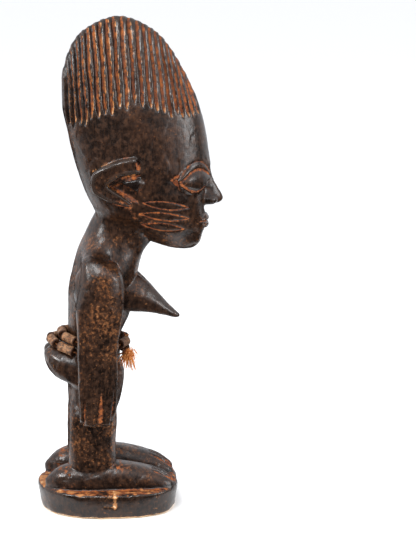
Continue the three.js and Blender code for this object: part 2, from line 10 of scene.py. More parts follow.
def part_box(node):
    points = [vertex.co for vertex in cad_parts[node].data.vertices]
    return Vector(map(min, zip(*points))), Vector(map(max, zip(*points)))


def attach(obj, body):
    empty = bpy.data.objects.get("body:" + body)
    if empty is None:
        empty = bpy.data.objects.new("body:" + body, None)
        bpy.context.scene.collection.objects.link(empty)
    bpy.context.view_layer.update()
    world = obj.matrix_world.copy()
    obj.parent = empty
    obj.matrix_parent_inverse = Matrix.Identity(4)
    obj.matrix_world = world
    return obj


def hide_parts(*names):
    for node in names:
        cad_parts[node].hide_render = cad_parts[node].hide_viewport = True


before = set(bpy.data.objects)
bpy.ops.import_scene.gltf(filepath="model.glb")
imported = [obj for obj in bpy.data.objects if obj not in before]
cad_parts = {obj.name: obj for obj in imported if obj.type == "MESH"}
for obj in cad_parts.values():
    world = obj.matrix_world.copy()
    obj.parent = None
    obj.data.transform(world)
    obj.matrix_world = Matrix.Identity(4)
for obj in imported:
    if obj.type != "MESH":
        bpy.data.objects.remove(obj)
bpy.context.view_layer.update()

# The carved figure and its plinth: one block of dense hardwood, hewn with an adze and finished with a
# knife. Its masses are made first and joined into one skin, which is then cut with the knife's grooves,
# worn and stained. Free forms are given in hundredths of the figure's height.
MM = 0.001
PLINTH_HEIGHT = 15.6 * MM
PART = (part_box("figure")[1].z - PLINTH_HEIGHT) / 100
chance = np.random.default_rng(7)


def point(x, ahead, z):
    """Points in metres. The figure faces -Y, so ahead counts against Y."""
    return np.stack(np.broadcast_arrays(x, -ahead, z), axis=-1)


def up(height):
    return PLINTH_HEIGHT + height * PART


def squared(value, fullness):
    """A unit circle's coordinate on the matching axis of a superellipse."""
    return np.sign(value) * np.abs(value) ** (2 / fullness)


def rows_at(rows, places):
    """Smooth curves down the columns of a table, read at 0 for its first row, 1 for the next, and so on."""
    rows = np.array(rows, float)
    slopes = np.diff(rows, axis=0)
    steepest = 3 * np.minimum(np.abs(slopes[:-1]), np.abs(slopes[1:])) * (slopes[:-1] * slopes[1:] > 0)
    between = np.clip((slopes[:-1] + slopes[1:]) / 2, -steepest, steepest)
    tangents = np.vstack([slopes[:1], between, slopes[-1:]])
    first = np.clip(np.floor(places).astype(int), 0, len(rows) - 2)
    t = (places - first)[..., None]
    return (
        rows[first] * (1 + 2 * t) * (1 - t) ** 2
        + tangents[first] * t * (1 - t) ** 2
        + rows[first + 1] * t * t * (3 - 2 * t)
        + tangents[first + 1] * t * t * (t - 1)
    )


def loft(body, around, rings, place):
    """Adds a drum to body and moves each of its points by place(along, x, y). along runs from 0 at the
    foot to 1 at the top, and x and y are its place in a unit circle, 0 and 0 in the middle of a cap."""
    drum = bmesh.new()
    bmesh.ops.create_cone(
        drum, cap_ends=True, cap_tris=True, segments=around, radius1=1, radius2=1, depth=1
    )
    walls = [edge for edge in drum.edges if abs(edge.verts[0].co.z - edge.verts[1].co.z) > 0.5]
    bmesh.ops.subdivide_edges(drum, edges=walls, cuts=rings - 1)
    spots = np.array([vert.co for vert in drum.verts])
    for vert, spot in zip(drum.verts, place(spots[:, 2] + 0.5, spots[:, 0], spots[:, 1])):
        vert.co = spot
    form = bpy.data.meshes.new("form")
    drum.to_mesh(form)
    drum.free()
    body.from_mesh(form)
    bpy.data.meshes.remove(form)


def standing(body, rows, around, rings, cleft=None):
    """An upright form through level or sloping sections. A row is: height at the back, back, height at the
    front, front, half width, fullness."""

    def place(along, x, y):
        row = along * (len(rows) - 1)
        up_back, back, up_front, front, half, fullness = rows_at(rows, row).T
        across = squared(x, fullness) * half * PART
        share = (1 + squared(y, fullness)) / 2
        ahead = (back + (front - back) * share) * PART
        if cleft:
            ahead = ahead + np.where(y < 0, cleft(row, across), 0)
        return point(across, ahead, up(up_back + (up_front - up_back) * share))

    loft(body, around, rings, place)


def ball(body, centre, radii, turn=0.0, pinch=0.0):
    """An egg. pinch draws its two long ends together, like an almond's."""
    made = bmesh.ops.create_icosphere(body, subdivisions=4, radius=1)["verts"]
    for vert in made:
        vert.co.z *= 1 - pinch * vert.co.y**2
    place = Matrix.Translation(centre) @ Matrix.Rotation(turn, 4, "Z") @ Matrix.Diagonal((*radii, 1))
    bmesh.ops.transform(body, matrix=place, verts=made)


def unit(vectors):
    return vectors / np.linalg.norm(vectors, axis=-1, keepdims=True)


def bell(distance, width):
    """1 at no distance, falling away to nothing beside it."""
    return np.exp(-((distance / width) ** 2))


masses = bmesh.new()

# The plinth: a drum squarer in front of the toes than behind the heels, with worn, rounded edges
PLINTH_LENGTH = 83.4 * MM
PLINTH_WIDTH = 72 * MM
PLINTH_FRONT_SQUARENESS = 3
PLINTH_BACK_SQUARENESS = 2.2
# Height and inset of each ring of its wall, in millimetres
plinth_wall = [(0, 4.2), (0.8, 2.4), (2.6, 1.6), (8, 0.9), (13.6, 0), (14.9, 0.5), (15.6, 1.6)]


def plinth_place(along, x, y):
    height, inset = rows_at(np.array(plinth_wall) * MM, along * (len(plinth_wall) - 1)).T
    squareness = np.where(y > 0, PLINTH_FRONT_SQUARENESS, PLINTH_BACK_SQUARENESS)
    return point(
        squared(x, squareness) * (PLINTH_WIDTH / 2 - inset),
        squared(y, squareness) * (PLINTH_LENGTH / 2 - inset),
        height,
    )


loft(masses, around=128, rings=30, place=plinth_place)

# Feet, from the heel to the toes. A row is: place along the foot, height, half width, shift outwards.
LEG_WIDTH = 20 * MM
LEG_CENTRE = 14.2 * MM
TOES = 40.2 * MM
HEEL = -37.5 * MM
SUNK = 2 * MM
FOOT_FULLNESS = 2.6
LEFT_INSTEP = 1.14  # how much higher the left foot is
foot_rows = [
    (0, 1.6, 0.3, 0.1),
    (0.04, 2.7, 1.7, 0.1),
    (0.1, 4.0, 3.0, 0.15),
    (0.2, 4.9, 4.0, 0.2),
    (0.38, 5.4, 4.3, 0.25),
    (0.57, 5.2, 4.2, 0.25),
    (0.73, 4.3, 4.1, 0.2),
    (0.87, 3.1, 4.1, 0.1),
    (0.96, 1.7, 3.6, -0.2),
    (1, 0.95, 2.4, -0.7),
]
# Legs: near-straight posts. A row is: height, back, front, share of the leg's width.
leg_rows = [
    (-0.7, -8.55, 1.8, 1),
    (4.7, -8.5, 1.75, 1),
    (10.1, -8.45, 1.65, 0.99),
    (15.2, -8.3, 1.9, 0.97),
    (19.5, -7.6, 1.6, 0.6),
]
LEG_FULLNESS = 2.6

for side in (-1, 1):

    def foot_place(along, x, y):
        place, height, half, shift = rows_at(foot_rows, along * (len(foot_rows) - 1)).T
        height = height * (LEFT_INSTEP if side > 0 else 1)
        rise = np.where(y > 0, squared(y, FOOT_FULLNESS) * (height * PART + SUNK), y * SUNK)
        return point(
            side * (LEG_CENTRE + shift * PART) + squared(x, FOOT_FULLNESS) * half * PART,
            HEEL + (TOES - HEEL) * place,
            PLINTH_HEIGHT - SUNK + rise,
        )

    def leg_place(along, x, y):
        height, back, front, share = rows_at(leg_rows, along * (len(leg_rows) - 1)).T
        # Where the leg narrows into the hip, it leans inwards too
        centre = side * LEG_CENTRE * (0.4 + 0.6 * share**0.5)
        return point(
            centre + squared(x, LEG_FULLNESS) * LEG_WIDTH / 2 * share,
            (back + (front - back) * (1 + squared(y, LEG_FULLNESS)) / 2) * PART,
            up(height),
        )

    loft(masses, around=56, rings=60, place=foot_place)
    loft(masses, around=56, rings=40, place=leg_place)

# Hips, waist, chest and neck. The waist is where the beads lie, above the shelf of the buttocks.
trunk_rows = [
    (16.7, -8.2, 16.1, 2.05, 8.25, 2.5),
    (19.8, -8.3, 18.0, 2.8, 8.2, 2.5),
    (22.1, -8.5, 20.1, 3.3, 8.0, 2.5),
    (24.1, -11.7, 22.1, 3.65, 7.7, 2.5),
    (26.2, -13.1, 24.1, 3.75, 7.4, 2.5),
    (28.6, -13.6, 25.0, 3.6, 6.9, 2.4),
    (30.1, -12.5, 26.0, 3.35, 6.0, 2.2),
    (30.55, -8.5, 27.3, 2.95, 5.5, 2),
    (32.2, -8.2, 30.1, 2.95, 5.5, 2),
    (34.6, -8.1, 32.6, 3.2, 5.6, 2),
    (37.7, -8.0, 36.4, 4.9, 6.0, 2.3),
    (41.3, -8.0, 40.8, 6.0, 6.7, 2.3),
    (45.7, -7.2, 45.5, 6.75, 7.4, 2.3),
    (50.2, -6.0, 48.6, 7.5, 6.7, 2.2),
    (54.0, -4.35, 50.5, 8.3, 5.5, 2.1),
    (58.6, -2.0, 52.7, 10.0, 5.1, 2),
    (63.0, 1.4, 57.2, 13.0, 4.8, 2),
]
CLEFT_DEPTH = 6 * MM
CLEFT_WIDTH = 6 * MM
WIDEST_BUTTOCKS = 5  # their row in the table


def buttocks_cleft(row, across):
    near = np.maximum(0, 1 - np.abs(row - WIDEST_BUTTOCKS) * 0.4)
    return CLEFT_DEPTH * near * bell(across, CLEFT_WIDTH / 2)


standing(masses, trunk_rows, around=88, rings=110, cleft=buttocks_cleft)

# Breasts: pointed, with a sharp ridge above and flat below. A row is: ahead, top, bottom, half width, out.
# The left one is a little shorter and lower.
breast_rows = [
    (1.5, 47.4, 37.8, 3.3, 2.7),
    (6.2, 46.0, 37.7, 3.0, 2.75),
    (9.4, 43.4, 37.4, 2.4, 2.8),
    (12.3, 40.2, 36.8, 1.65, 2.9),
    (14.7, 37.7, 36.2, 0.95, 2.95),
    (15.6, 36.9, 36.4, 0.3, 3.0),
]
BREAST_RIDGE = 1.3  # the fullness of its upper half, which is nearly that of a roof
BREAST_FLAT = 3.4
LEFT_DROP = 0.8 * MM
LEFT_REACH = 0.95

for side in (-1, 1):

    def breast_place(along, x, y):
        ahead, top, bottom, half, out = rows_at(breast_rows, along * (len(breast_rows) - 1)).T
        fullness = np.where(y > 0, BREAST_RIDGE, BREAST_FLAT)
        drop = along * (LEFT_DROP if side > 0 else 0)
        return point(
            side * out * PART + squared(x, fullness) * half * PART,
            ahead * PART * (LEFT_REACH if side > 0 else 1),
            up((top + bottom) / 2 + (top - bottom) / 2 * squared(y, fullness)) - drop,
        )

    loft(masses, around=56, rings=50, place=breast_place)

# Arms: flat posts with a drawn edge along the back and the front, whose hands end on the thighs. The
# shoulders slope down to the front, and blades join them to the back. A row is: height, back, front, step
# outwards of the inner face, thickness, fullness, how much lower the front is than the back.
ARM_INNER = 22.98 * MM
arm_rows = [
    (14.8, -5.2, 0.3, -0.2, 4.3, 2.5, 0),
    (15.9, -6.1, 1.0, -0.6, 5.4, 3.4, 0),
    (18.8, -6.25, 1.65, -0.3, 5.2, 4.0, 0),
    (23.2, -6.4, 1.9, 0, 4.8, 4.2, 0),
    (28.3, -6.45, 1.9, 0, 4.75, 4.2, 0),
    (32.6, -6.45, 2.1, 0, 4.9, 4.0, 0),
    (36.9, -6.5, 2.75, -0.3, 5.3, 3.4, 0),
    (39.9, -6.7, 3.3, -1.7, 6.9, 2.9, 0),
    (43.6, -6.0, 3.6, -2.9, 8.0, 2.7, 0.5),
    (47.2, -5.5, 3.3, -3.6, 8.2, 2.5, 1.5),
    (49.6, -5.0, 2.4, -4.1, 7.3, 2.1, 2.4),
    (50.5, -4.0, 1.2, -4.2, 4.6, 2.0, 2.4),
]
BLADE_OUT, BLADE_AHEAD, BLADE_HEIGHT = 6.8, -4.8, 43.2
BLADE_RADII = Vector((3.2, 2.2, 4.8)) * PART
# The slope from the neck down to the shoulders, in the way that the trunk is given
slope_rows = [
    (47.4, -6.0, 44.6, 2.0, 10.6, 2.3),
    (50.6, -5.4, 47.8, 1.8, 10.2, 2.3),
    (52.0, -5.1, 49.4, 1.9, 8.7, 2.2),
    (53.2, -4.6, 51.0, 2.3, 7.1, 2.1),
    (55.2, -3.5, 53.4, 3.2, 5.6, 2),
    (58.5, -1.7, 57.0, 4.0, 4.8, 2),
]
standing(masses, slope_rows, around=72, rings=60)

for side in (-1, 1):

    def arm_place(along, x, y):
        height, back, front, step, thickness, fullness, fall = rows_at(
            arm_rows, along * (len(arm_rows) - 1)
        ).T
        share = (1 + squared(y, fullness)) / 2
        return point(
            side * (ARM_INNER + (step + thickness / 2) * PART)
            + squared(x, fullness) * thickness * PART / 2,
            (back + (front - back) * share) * PART,
            up(height + fall * (0.5 - share)),
        )

    loft(masses, around=64, rings=100, place=arm_place)
    ball(masses, point(side * BLADE_OUT * PART, BLADE_AHEAD * PART, up(BLADE_HEIGHT)), BLADE_RADII)

# Head and coiffure: one egg-shaped form that closes to a thin crest
head_rows = [
    (54.2, 5.1, 50.4, 15.9, 2.6, 2),
    (57.4, 1.1, 51.8, 19.0, 5.3, 2.1),
    (58.6, -1.7, 55.4, 20.4, 7.4, 2.3),
    (60.1, -2.6, 59.8, 21.0, 8.9, 2.3),
    (63.0, -4.0, 64.4, 21.0, 9.7, 2.3),
    (67.0, -5.4, 68.6, 22.4, 9.75, 2.3),
    (70.9, -6.5, 70.9, 22.15, 9.5, 2.3),
    (76.3, -7.7, 76.3, 21.3, 8.8, 2.2),
    (81.9, -8.7, 81.9, 19.85, 7.7, 2.2),
    (87.0, -8.7, 87.0, 17.7, 6.2, 2.1),
    (92.4, -7.4, 92.4, 14.7, 4.5, 2.1),
    (96.5, -4.9, 96.5, 11.4, 3.0, 2),
    (99.0, -0.9, 99.0, 7.3, 1.6, 2),
    (100, 2.1, 100, 4.4, 0.6, 2),
]
standing(masses, head_rows, around=96, rings=120)


def head_half(ahead, height):
    """The head's half width at places ahead and heights, all in hundredths."""
    low = np.zeros_like(ahead)
    high = np.full_like(ahead, len(head_rows) - 1.0)
    for halving in range(24):
        middle = (low + high) / 2
        up_back, back, up_front, front = rows_at(head_rows, middle).T[:4]
        below = up_back + (up_front - up_back) * (ahead - back) / (front - back) < height
        low = np.where(below, middle, low)
        high = np.where(below, high, middle)
    _, back, _, front, half, fullness = rows_at(head_rows, low).T
    share = np.minimum(np.abs((2 * ahead - back - front) / (front - back)), 1)
    return half * (1 - share**fullness) ** (1 / fullness)


# Ears: a broad rim like a horseshoe, open ahead, round a small tongue. A rim point is: ahead, height, half
# width.
ear_rim = [
    (6.3, 70.0, 1.7),
    (3.2, 69.5, 1.7),
    (0.7, 68.5, 1.8),
    (-1.1, 67.1, 2.0),
    (-1.3, 65.6, 1.9),
    (0.0, 64.2, 1.5),
    (2.2, 63.1, 1.15),
    (4.9, 61.7, 0.5),
]
EAR_STAND = 1.4  # how far the rim's middle line stands off the head at the back
EAR_SUNK = 0.2
EAR_THICKNESS = 1.2  # half of it
EAR_FULLNESS = 2.8
TONGUE = (5.7, 66.2)
TONGUE_SUNK = 0.2
TONGUE_RADII = Vector((1.0, 2.2, 1.6)) * PART

for side in (-1, 1):

    def ear_line(along):
        ahead, height = rows_at(ear_rim, along * (len(ear_rim) - 1)).T[:2]
        out = head_half(ahead, height) + EAR_STAND * np.sin(math.pi * along) - EAR_SUNK
        return point(side * out * PART, ahead * PART, up(height))

    def ear_place(along, x, y):
        way = unit(ear_line(np.minimum(along + 0.01, 1)) - ear_line(np.maximum(along - 0.01, 0)))
        flat = unit(np.cross((1, 0, 0), way))
        across = squared(y, EAR_FULLNESS) * rows_at(ear_rim, along * (len(ear_rim) - 1)).T[2]
        out = squared(x, EAR_FULLNESS) * EAR_THICKNESS
        return ear_line(along) + (flat * across[:, None] + np.cross(way, flat) * out[:, None]) * PART

    loft(masses, around=32, rings=60, place=ear_place)
    ahead, height = np.array([TONGUE[0]]), np.array([TONGUE[1]])
    seat = point(side * (head_half(ahead, height) - TONGUE_SUNK) * PART, ahead * PART, up(height))[0]
    ball(masses, seat, TONGUE_RADII, turn=side * 0.15, pinch=0.3)

# The face: a plain one by the rule of thirds, hairline to brow, brow to nose and nose to chin
FACE_TOP = 80.0
CHIN = 50.4
THIRD = (FACE_TOP - CHIN) / 3
BROW = FACE_TOP - THIRD
NOSE_BASE = BROW - THIRD
MOUTH = NOSE_BASE - THIRD / 3
EYE_LINE = BROW - THIRD * 0.4
EYE_LENGTH = 9.2
EYE_HEIGHT = 4.5
EYE_AHEAD = 18.6
EYE_OUT = 6.1
EYE_TURN = 0.8  # how far each eye looks sideways, in radians

for side in (-1, 1):
    lids = point(side * EYE_OUT * PART, EYE_AHEAD * PART, up(EYE_LINE + 0.4))
    eyeball = point(side * (EYE_OUT + 0.12) * PART, EYE_AHEAD * PART, up(EYE_LINE))
    lid_radii = Vector((1.15, EYE_LENGTH / 2 + 0.9, EYE_HEIGHT / 2 + 1.2)) * PART
    eye_radii = Vector((1.6, EYE_LENGTH / 2, EYE_HEIGHT / 2)) * PART
    ball(masses, lids, lid_radii, turn=-side * EYE_TURN, pinch=0.35)
    ball(masses, eyeball, eye_radii, turn=-side * EYE_TURN, pinch=0.35)

# A row of the nose is: height, depth at the sides, ridge, half width
nose_rows = [
    (NOSE_BASE, 19.6, 24.5, 1.8),
    (NOSE_BASE + 1.1, 19.5, 25.3, 2.0),
    ((EYE_LINE + NOSE_BASE) / 2 + 0.5, 19.5, 24.1, 1.45),
    (EYE_LINE, 19.3, 22.9, 1.05),
    (BROW - 0.8, 19.3, 22.3, 1.0),
    (BROW + 0.8, 19.3, 21.6, 0.8),
]


def nose_place(along, x, y):
    height, sides, ridge, half = rows_at(nose_rows, along * (len(nose_rows) - 1)).T
    return point(
        squared(x, 1.8) * half * PART, (sides + (ridge - sides) * squared(y, 1.8)) * PART, up(height)
    )


loft(masses, around=40, rings=40, place=nose_place)
# The wings of the nose, the swell under the lips, and the chin. A row is: out, ahead, height, half width,
# half depth, half height.
for out, ahead, height, *radii in [
    (-1.6, 22.0, NOSE_BASE + 0.9, 1.2, 1.9, 1.05),
    (1.6, 22.0, NOSE_BASE + 0.9, 1.2, 1.9, 1.05),
    (0.0, 17.9, MOUTH - 0.1, 5.2, 3.9, 3.7),
    (0.0, 17.3, CHIN + 2.9, 4.3, 3.4, 2.9),
]:
    ball(masses, point(out * PART, ahead * PART, up(height)), Vector(radii) * PART)

# All masses become one skin, fine enough to be cut, and the knife's rounding softens where they meet
SKIN = 0.56 * MM  # the spacing of its points
block = bpy.data.meshes.new("block")
masses.to_mesh(block)
masses.free()
carving = bpy.data.objects.new("carved_figure", block)
bpy.context.collection.objects.link(carving)


def apply_modifier(piece, kind, **settings):
    """Adds a modifier and makes its result the piece's own mesh."""
    modifier = piece.modifiers.new(kind, kind)
    for name, value in settings.items():
        setattr(modifier, name, value)
    depsgraph = bpy.context.evaluated_depsgraph_get()
    made = bpy.data.meshes.new_from_object(piece.evaluated_get(depsgraph))
    piece.modifiers.clear()
    piece.data = made


apply_modifier(carving, "REMESH", mode="VOXEL", voxel_size=SKIN)
apply_modifier(carving, "SMOOTH", factor=0.5, iterations=3)


def read(collection, name, width=3, kind=np.float32):
    """One row of numbers for each item of a mesh."""
    values = np.empty(len(collection) * width, kind)
    collection.foreach_get(name, values)
    return values.reshape(-1, width).astype(float if kind is np.float32 else int)


def neighbours_sum(spots, edges):
    sums = [
        np.bincount(edges[:, 0], spots[edges[:, 1], axis], len(spots))
        + np.bincount(edges[:, 1], spots[edges[:, 0], axis], len(spots))
        for axis in range(3)
    ]
    return np.stack(sums, axis=1)


def flow(spots, edges, mask, steps):
    """Draws points towards their neighbours where mask is 1, so that forms run into one another."""
    used, local = np.unique(edges[(mask[edges] > 0).any(1)], return_inverse=True)
    local = local.reshape(-1, 2)
    links = np.bincount(local.ravel(), minlength=len(used))[:, None]
    moved = spots[used]
    for step in range(steps):
        moved += mask[used, None] * (neighbours_sum(moved, local) / links - moved)
    spots[used] = moved


edges = read(carving.data.edges, "vertices", 2, np.int32)
skin = read(carving.data.vertices, "co")
x, ahead = skin[:, 0] / PART, -skin[:, 1] / PART
height = (skin[:, 2] - PLINTH_HEIGHT) / PART


def smoothstep(value, low, high):
    share = np.clip((value - low) / (high - low), 0, 1)
    return share * share * (3 - 2 * share)


by_neck = smoothstep(height, 50.0, 51.6) * (1 - smoothstep(height, 58, 61)) * (np.abs(x) > 1) * (ahead < 8)
flow(skin, edges, 0.9 * by_neck, steps=160)
by_mouth = smoothstep(ahead, 13, 17) * (height < NOSE_BASE - 0.8) * (height > CHIN - 2)
flow(skin, edges, 0.9 * by_mouth, steps=60)
by_nose = (np.abs(x) < 3.4) & (np.abs(height - (NOSE_BASE + BROW) / 2) < THIRD * 0.75)
flow(skin, edges, 0.8 * by_nose * smoothstep(ahead, 19.5, 21), steps=14)
carving.data.vertices.foreach_set("co", skin.astype(np.float32).ravel())
outward = read(carving.data.vertex_normals, "vector")
x, ahead = skin[:, 0] / PART, -skin[:, 1] / PART
height = (skin[:, 2] - PLINTH_HEIGHT) / PART
side = np.sign(x)
cut = np.zeros(len(skin))  # how deep the knife goes, in metres
stain = np.zeros(len(skin))  # orange-brown residue that is more than what lies in hollows
bare = np.zeros(len(skin))  # scraped or chipped pale wood, and painted highlights on lit flute edges
polished_and_sheen = np.zeros(len(skin))  # rubbed glossier and painted greyer than the rest, partly a painted sheen
soot = np.zeros(len(skin))  # black specks and dirt, and painted shade in grooves, hollows, creases and at the feet
PIT_SIZE = 2.6 * MM
TEAR_SIZE = 1.5 * MM
pitting = np.array([noise.fractal(Vector(spot) / PIT_SIZE, 0.8, 2.1, 3) for spot in skin])
torn = np.array([noise.noise(Vector(spot) / TEAR_SIZE) for spot in skin * (1, 1, 0.4)])


def beside(x0, y0, x1, y1, x, y):
    """Distance from each x, y to the line from x0, y0 to x1, y1, and the share of the way along it."""
    run = np.array([x1 - x0, y1 - y0])
    along = np.clip(((x - x0) * run[0] + (y - y0) * run[1]) / (run @ run), 0, 1)
    return np.hypot(x - x0 - along * run[0], y - y0 - along * run[1]), along


# Flutes of the coiffure: grooves that start in a point at the hairline, run up and meet over the crest. The
# hairline is highest above the ear, the foremost grooves lean back most, and they crowd at both ends.
FLUTES = 21
FLUTE_WIDTH = 2.45 * MM
FLUTE_DEPTH = 1.75 * MM
FLUTE_BACK, FLUTE_FRONT = -7.4, 19.8
CROWDING = 0.03
HAIRLINE_STAGGER = 0.5
# The hairline, as places ahead and heights
hairline_ahead = (-7.4, -5.0, -1.5, 7.0, 14.5, 19.8)
hairline_height = (76.9, 78.1, 80.3, 82.4, 79.9, 79.5)
LEAST_LEAN, FRONT_LEAN = 0.05, 0.2
FLUTE_POINT = 5.0 * MM  # the length of its pointed lower end
ROUNDS = 12  # enough for each point to settle on its flute

start = ahead.copy()
for settling in range(ROUNDS):
    from_middle = (2 * start - FLUTE_BACK - FLUTE_FRONT) / (FLUTE_FRONT - FLUTE_BACK)
    hairline = np.interp(start, hairline_ahead, hairline_height)
    lean = LEAST_LEAN + FRONT_LEAN * np.maximum(0, from_middle) ** 2
    start = ahead + lean * (height - hairline)
spread = np.clip((start - FLUTE_BACK) / (FLUTE_FRONT - FLUTE_BACK), -0.05, 1.05)
share = spread.copy()
for settling in range(ROUNDS):
    share = spread + CROWDING * np.sin(2 * math.pi * share)
number = np.clip(np.rint(share * (FLUTES - 1)), 0, FLUTES - 1).astype(int)
even_pitch = (FLUTE_FRONT - FLUTE_BACK) * PART / (FLUTES - 1)
pitch = even_pitch * (1 - 2 * math.pi * CROWDING * np.cos(2 * math.pi * share))
hand = chance.uniform(-1, 1, (5, FLUTES, 2))  # the hand's unevenness, of its own for each groove and side
pick = (x > 0).astype(int)
sway = 0.22 * MM * np.sin(height * 0.55 + 3 * hand[0, number, pick]) + 0.15 * MM * hand[1, number, pick]
from_line = (share * (FLUTES - 1) - number) * pitch + sway
foot = hairline - HAIRLINE_STAGGER * (number % 2) + 0.3 * hand[2, number, pick]
rise = (height - foot) * PART
widening = 1 + 0.12 * hand[3, number, pick] + 0.12 * spread
half = FLUTE_WIDTH / 2 * widening * np.clip(rise / FLUTE_POINT, 0, 1) ** 0.55
across = from_line / np.maximum(half, 0.05 * MM)
in_flute = np.clip(1 - across**4, 0, 1)
drawn = np.clip(rise / (3 * MM), 0, 1) ** 0.6 * (1 + 0.15 * hand[4, number, pick])
off_crest = 0.2 + 0.8 * smoothstep(np.abs(x), 0.15, 1.7)
cut += FLUTE_DEPTH * in_flute * (1 - 0.3 * np.clip(across, -1, 1)) * drawn * off_crest
cut += (0.2 * torn * in_flute * (rise > 0) + 0.12 * torn * (height > 84)) * MM
# Powder lies on the slope, least behind. Under the steep wall each groove is painted with shade, and black
# specks lie over the coiffure
sloped = smoothstep(across + 0.4 * spread, -0.5, 0.05)
flute = in_flute * sloped * drawn * (0.45 + 0.55 * smoothstep(spread + 0.3 * torn, 0.0, 0.45))
soot += in_flute * (1 - sloped) * (rise > 0) + 0.25 * (rise > 0) * smoothstep(torn, -0.1, 0.4)
# Their lower ends are cut into clean pale wood. Each groove's front edge is painted pale on those behind
# and greyer on those in front: partly worn wood, partly a painted highlight on the lit edge
sideways = smoothstep(outward[:, 0] * side, 0.1, 0.5)
tip = smoothstep(rise, -0.5 * MM, 0.8 * MM) * (1 - smoothstep(rise, 1.5 * MM, 6 * MM)) * sideways
bare += 1.15 * tip * smoothstep(in_flute, 0.1, 0.6) * smoothstep(across, -0.4, 0.4) * (1 - 0.4 * spread)
front_edge = bell((across - 1) * half, 0.42 * MM) * (rise > 1 * MM) * sideways
bare += front_edge * (1.05 - 0.75 * smoothstep(spread, 0.35, 0.75)) * smoothstep(torn, -0.45, 0.35)
polished_and_sheen += 0.8 * front_edge * smoothstep(spread, 0.45, 0.8)

# Ears: the rim is dished between crisp edges, and the hollow runs back to a point behind the tongue
EAR_POINT = (0.7, 65.6)
HOLLOW_LENGTH, HOLLOW_RISE, HOLLOW_FALL = 5.8, 2.5, 3.7
HOLLOW_DEPTH = 1.6 * MM
DISH_DEPTH = 0.9 * MM
EAR_FOLD_DEPTH = 0.4 * MM
rim_spots = rows_at(ear_rim, np.linspace(0, len(ear_rim) - 1, 90))
by_ear = np.flatnonzero((np.abs(x) > 6.5) & (np.abs(ahead - 2) < 7) & (np.abs(height - 66) < 7))
from_rim = np.hypot(ahead[by_ear, None] - rim_spots[:, 0], height[by_ear, None] - rim_spots[:, 1])
nearest = from_rim.argmin(1)
from_rim = from_rim.min(1) / rim_spots[nearest, 2]
dish = 1 - smoothstep(from_rim, 0.3, 0.75)
outer_face = sideways[by_ear]
cut[by_ear] += DISH_DEPTH * dish
stain[by_ear] += 0.12 * dish
# The rim's edges are rubbed to a gloss and painted greyer, a painted highlight
polished_and_sheen[by_ear] += 0.9 * (1 - dish) * (from_rim < 1.1)
bare[by_ear] += 0.8 * bell(from_rim - 1.0, 0.06) * (ahead[by_ear] < 6) * outer_face
stain[by_ear] += 0.2 * smoothstep(from_rim, 1.05, 1.15) * (1 - smoothstep(from_rim, 1.2, 1.6)) * outer_face
tongue_outline = [(3.0, 66.5), (6.5, 64.4), (7.2, 67.5)]


def inside_outline(corners, x, y):
    """How far inside a convex outline, with its corners anticlockwise, each x, y lies."""
    reach = np.full(len(x), np.inf)
    for (x0, y0), (x1, y1) in zip(corners, corners[1:] + corners[:1]):
        edge = ((x1 - x0) * (y - y0) - (y1 - y0) * (x - x0)) / math.hypot(x1 - x0, y1 - y0)
        reach = np.minimum(reach, edge)
    return reach


opening = (ahead - EAR_POINT[0]) / HOLLOW_LENGTH
under_roof = EAR_POINT[1] + HOLLOW_RISE * opening - height
over_floor = height - EAR_POINT[1] + HOLLOW_FALL * opening
far_out = np.abs(x) > 6.5
inside = np.where((opening > -0.1) & (opening < 1.3) & far_out, np.minimum(under_roof, over_floor), -1)
on_tongue = smoothstep(inside_outline(tongue_outline, ahead, height), -0.25, 0.1) * far_out
closing = 1 - smoothstep(opening, 0.85, 1.25)
cut += HOLLOW_DEPTH * smoothstep(inside, 0, 0.5) * closing * (1 - on_tongue)
# The deep hollow is painted darker, a painted shade
soot += 0.35 * smoothstep(inside, 0.3, 0.8) * closing * (1 - on_tongue)
stain += 0.7 * bell(inside - 0.1, 0.28) * closing * (1 - on_tongue) * (opening > 0.25)
# The tongue is painted near black
soot += 0.8 * on_tongue
# The fold is cut shallow and painted with a line of shade
fold = beside(EAR_POINT[0] - 0.1, EAR_POINT[1], 3.5, 68.2, ahead, height)[0]
soot += 0.9 * bell(fold, 0.28) * far_out
cut += EAR_FOLD_DEPTH * bell(fold, 0.3) * far_out

# Shoulders: one knife cut slopes down across each, and wear has softened its edge
CUT_OUT, CUT_BACK, CUT_UP = unit(np.array([0.83, 0.12, 0.54]))
CUT_DEPTH = 0.8 * MM
CUT_SOFTNESS = 1.2 * MM
CREASE_DEPTH = 0.3 * MM
above = np.abs(x) * CUT_OUT - ahead * CUT_BACK + height * CUT_UP
on_shoulder = (np.abs(height - 48.5) < 4) & (ahead > -6.5) & (ahead < 3) & (np.abs(x) > 7.5)
above = (above - above[on_shoulder].max()) * PART + CUT_DEPTH
cut += (above + np.hypot(above, CUT_SOFTNESS)) / 2 * on_shoulder
# The cut face is rubbed a little and painted greyer, a faint painted highlight
polished_and_sheen += 0.2 * smoothstep(above, -2.2 * MM, 0.8 * MM) * on_shoulder
crease = beside(-5.0, 51.6, 1.8, 49.2, ahead, height)[0] * (np.abs(x) > 7) + 9 * (np.abs(x) < 7)
cut += CREASE_DEPTH * bell(crease, 0.16)
# The crease holds orange powder and is painted with a line of shade
stain += 0.45 * bell(crease, 0.45) * smoothstep(torn, -0.1, 0.3)
soot += 0.5 * bell(crease, 0.18)

# The ridges of the breasts are rubbed to a gloss and painted greyer where they face up, a painted highlight
ridge = beside(3.0, 46.9, 15.2, 37.1, ahead, height)[0]
polished_and_sheen += 0.9 * bell(ridge, 0.45) * (np.abs(x) < 5) * (outward[:, 2] > 0.3)

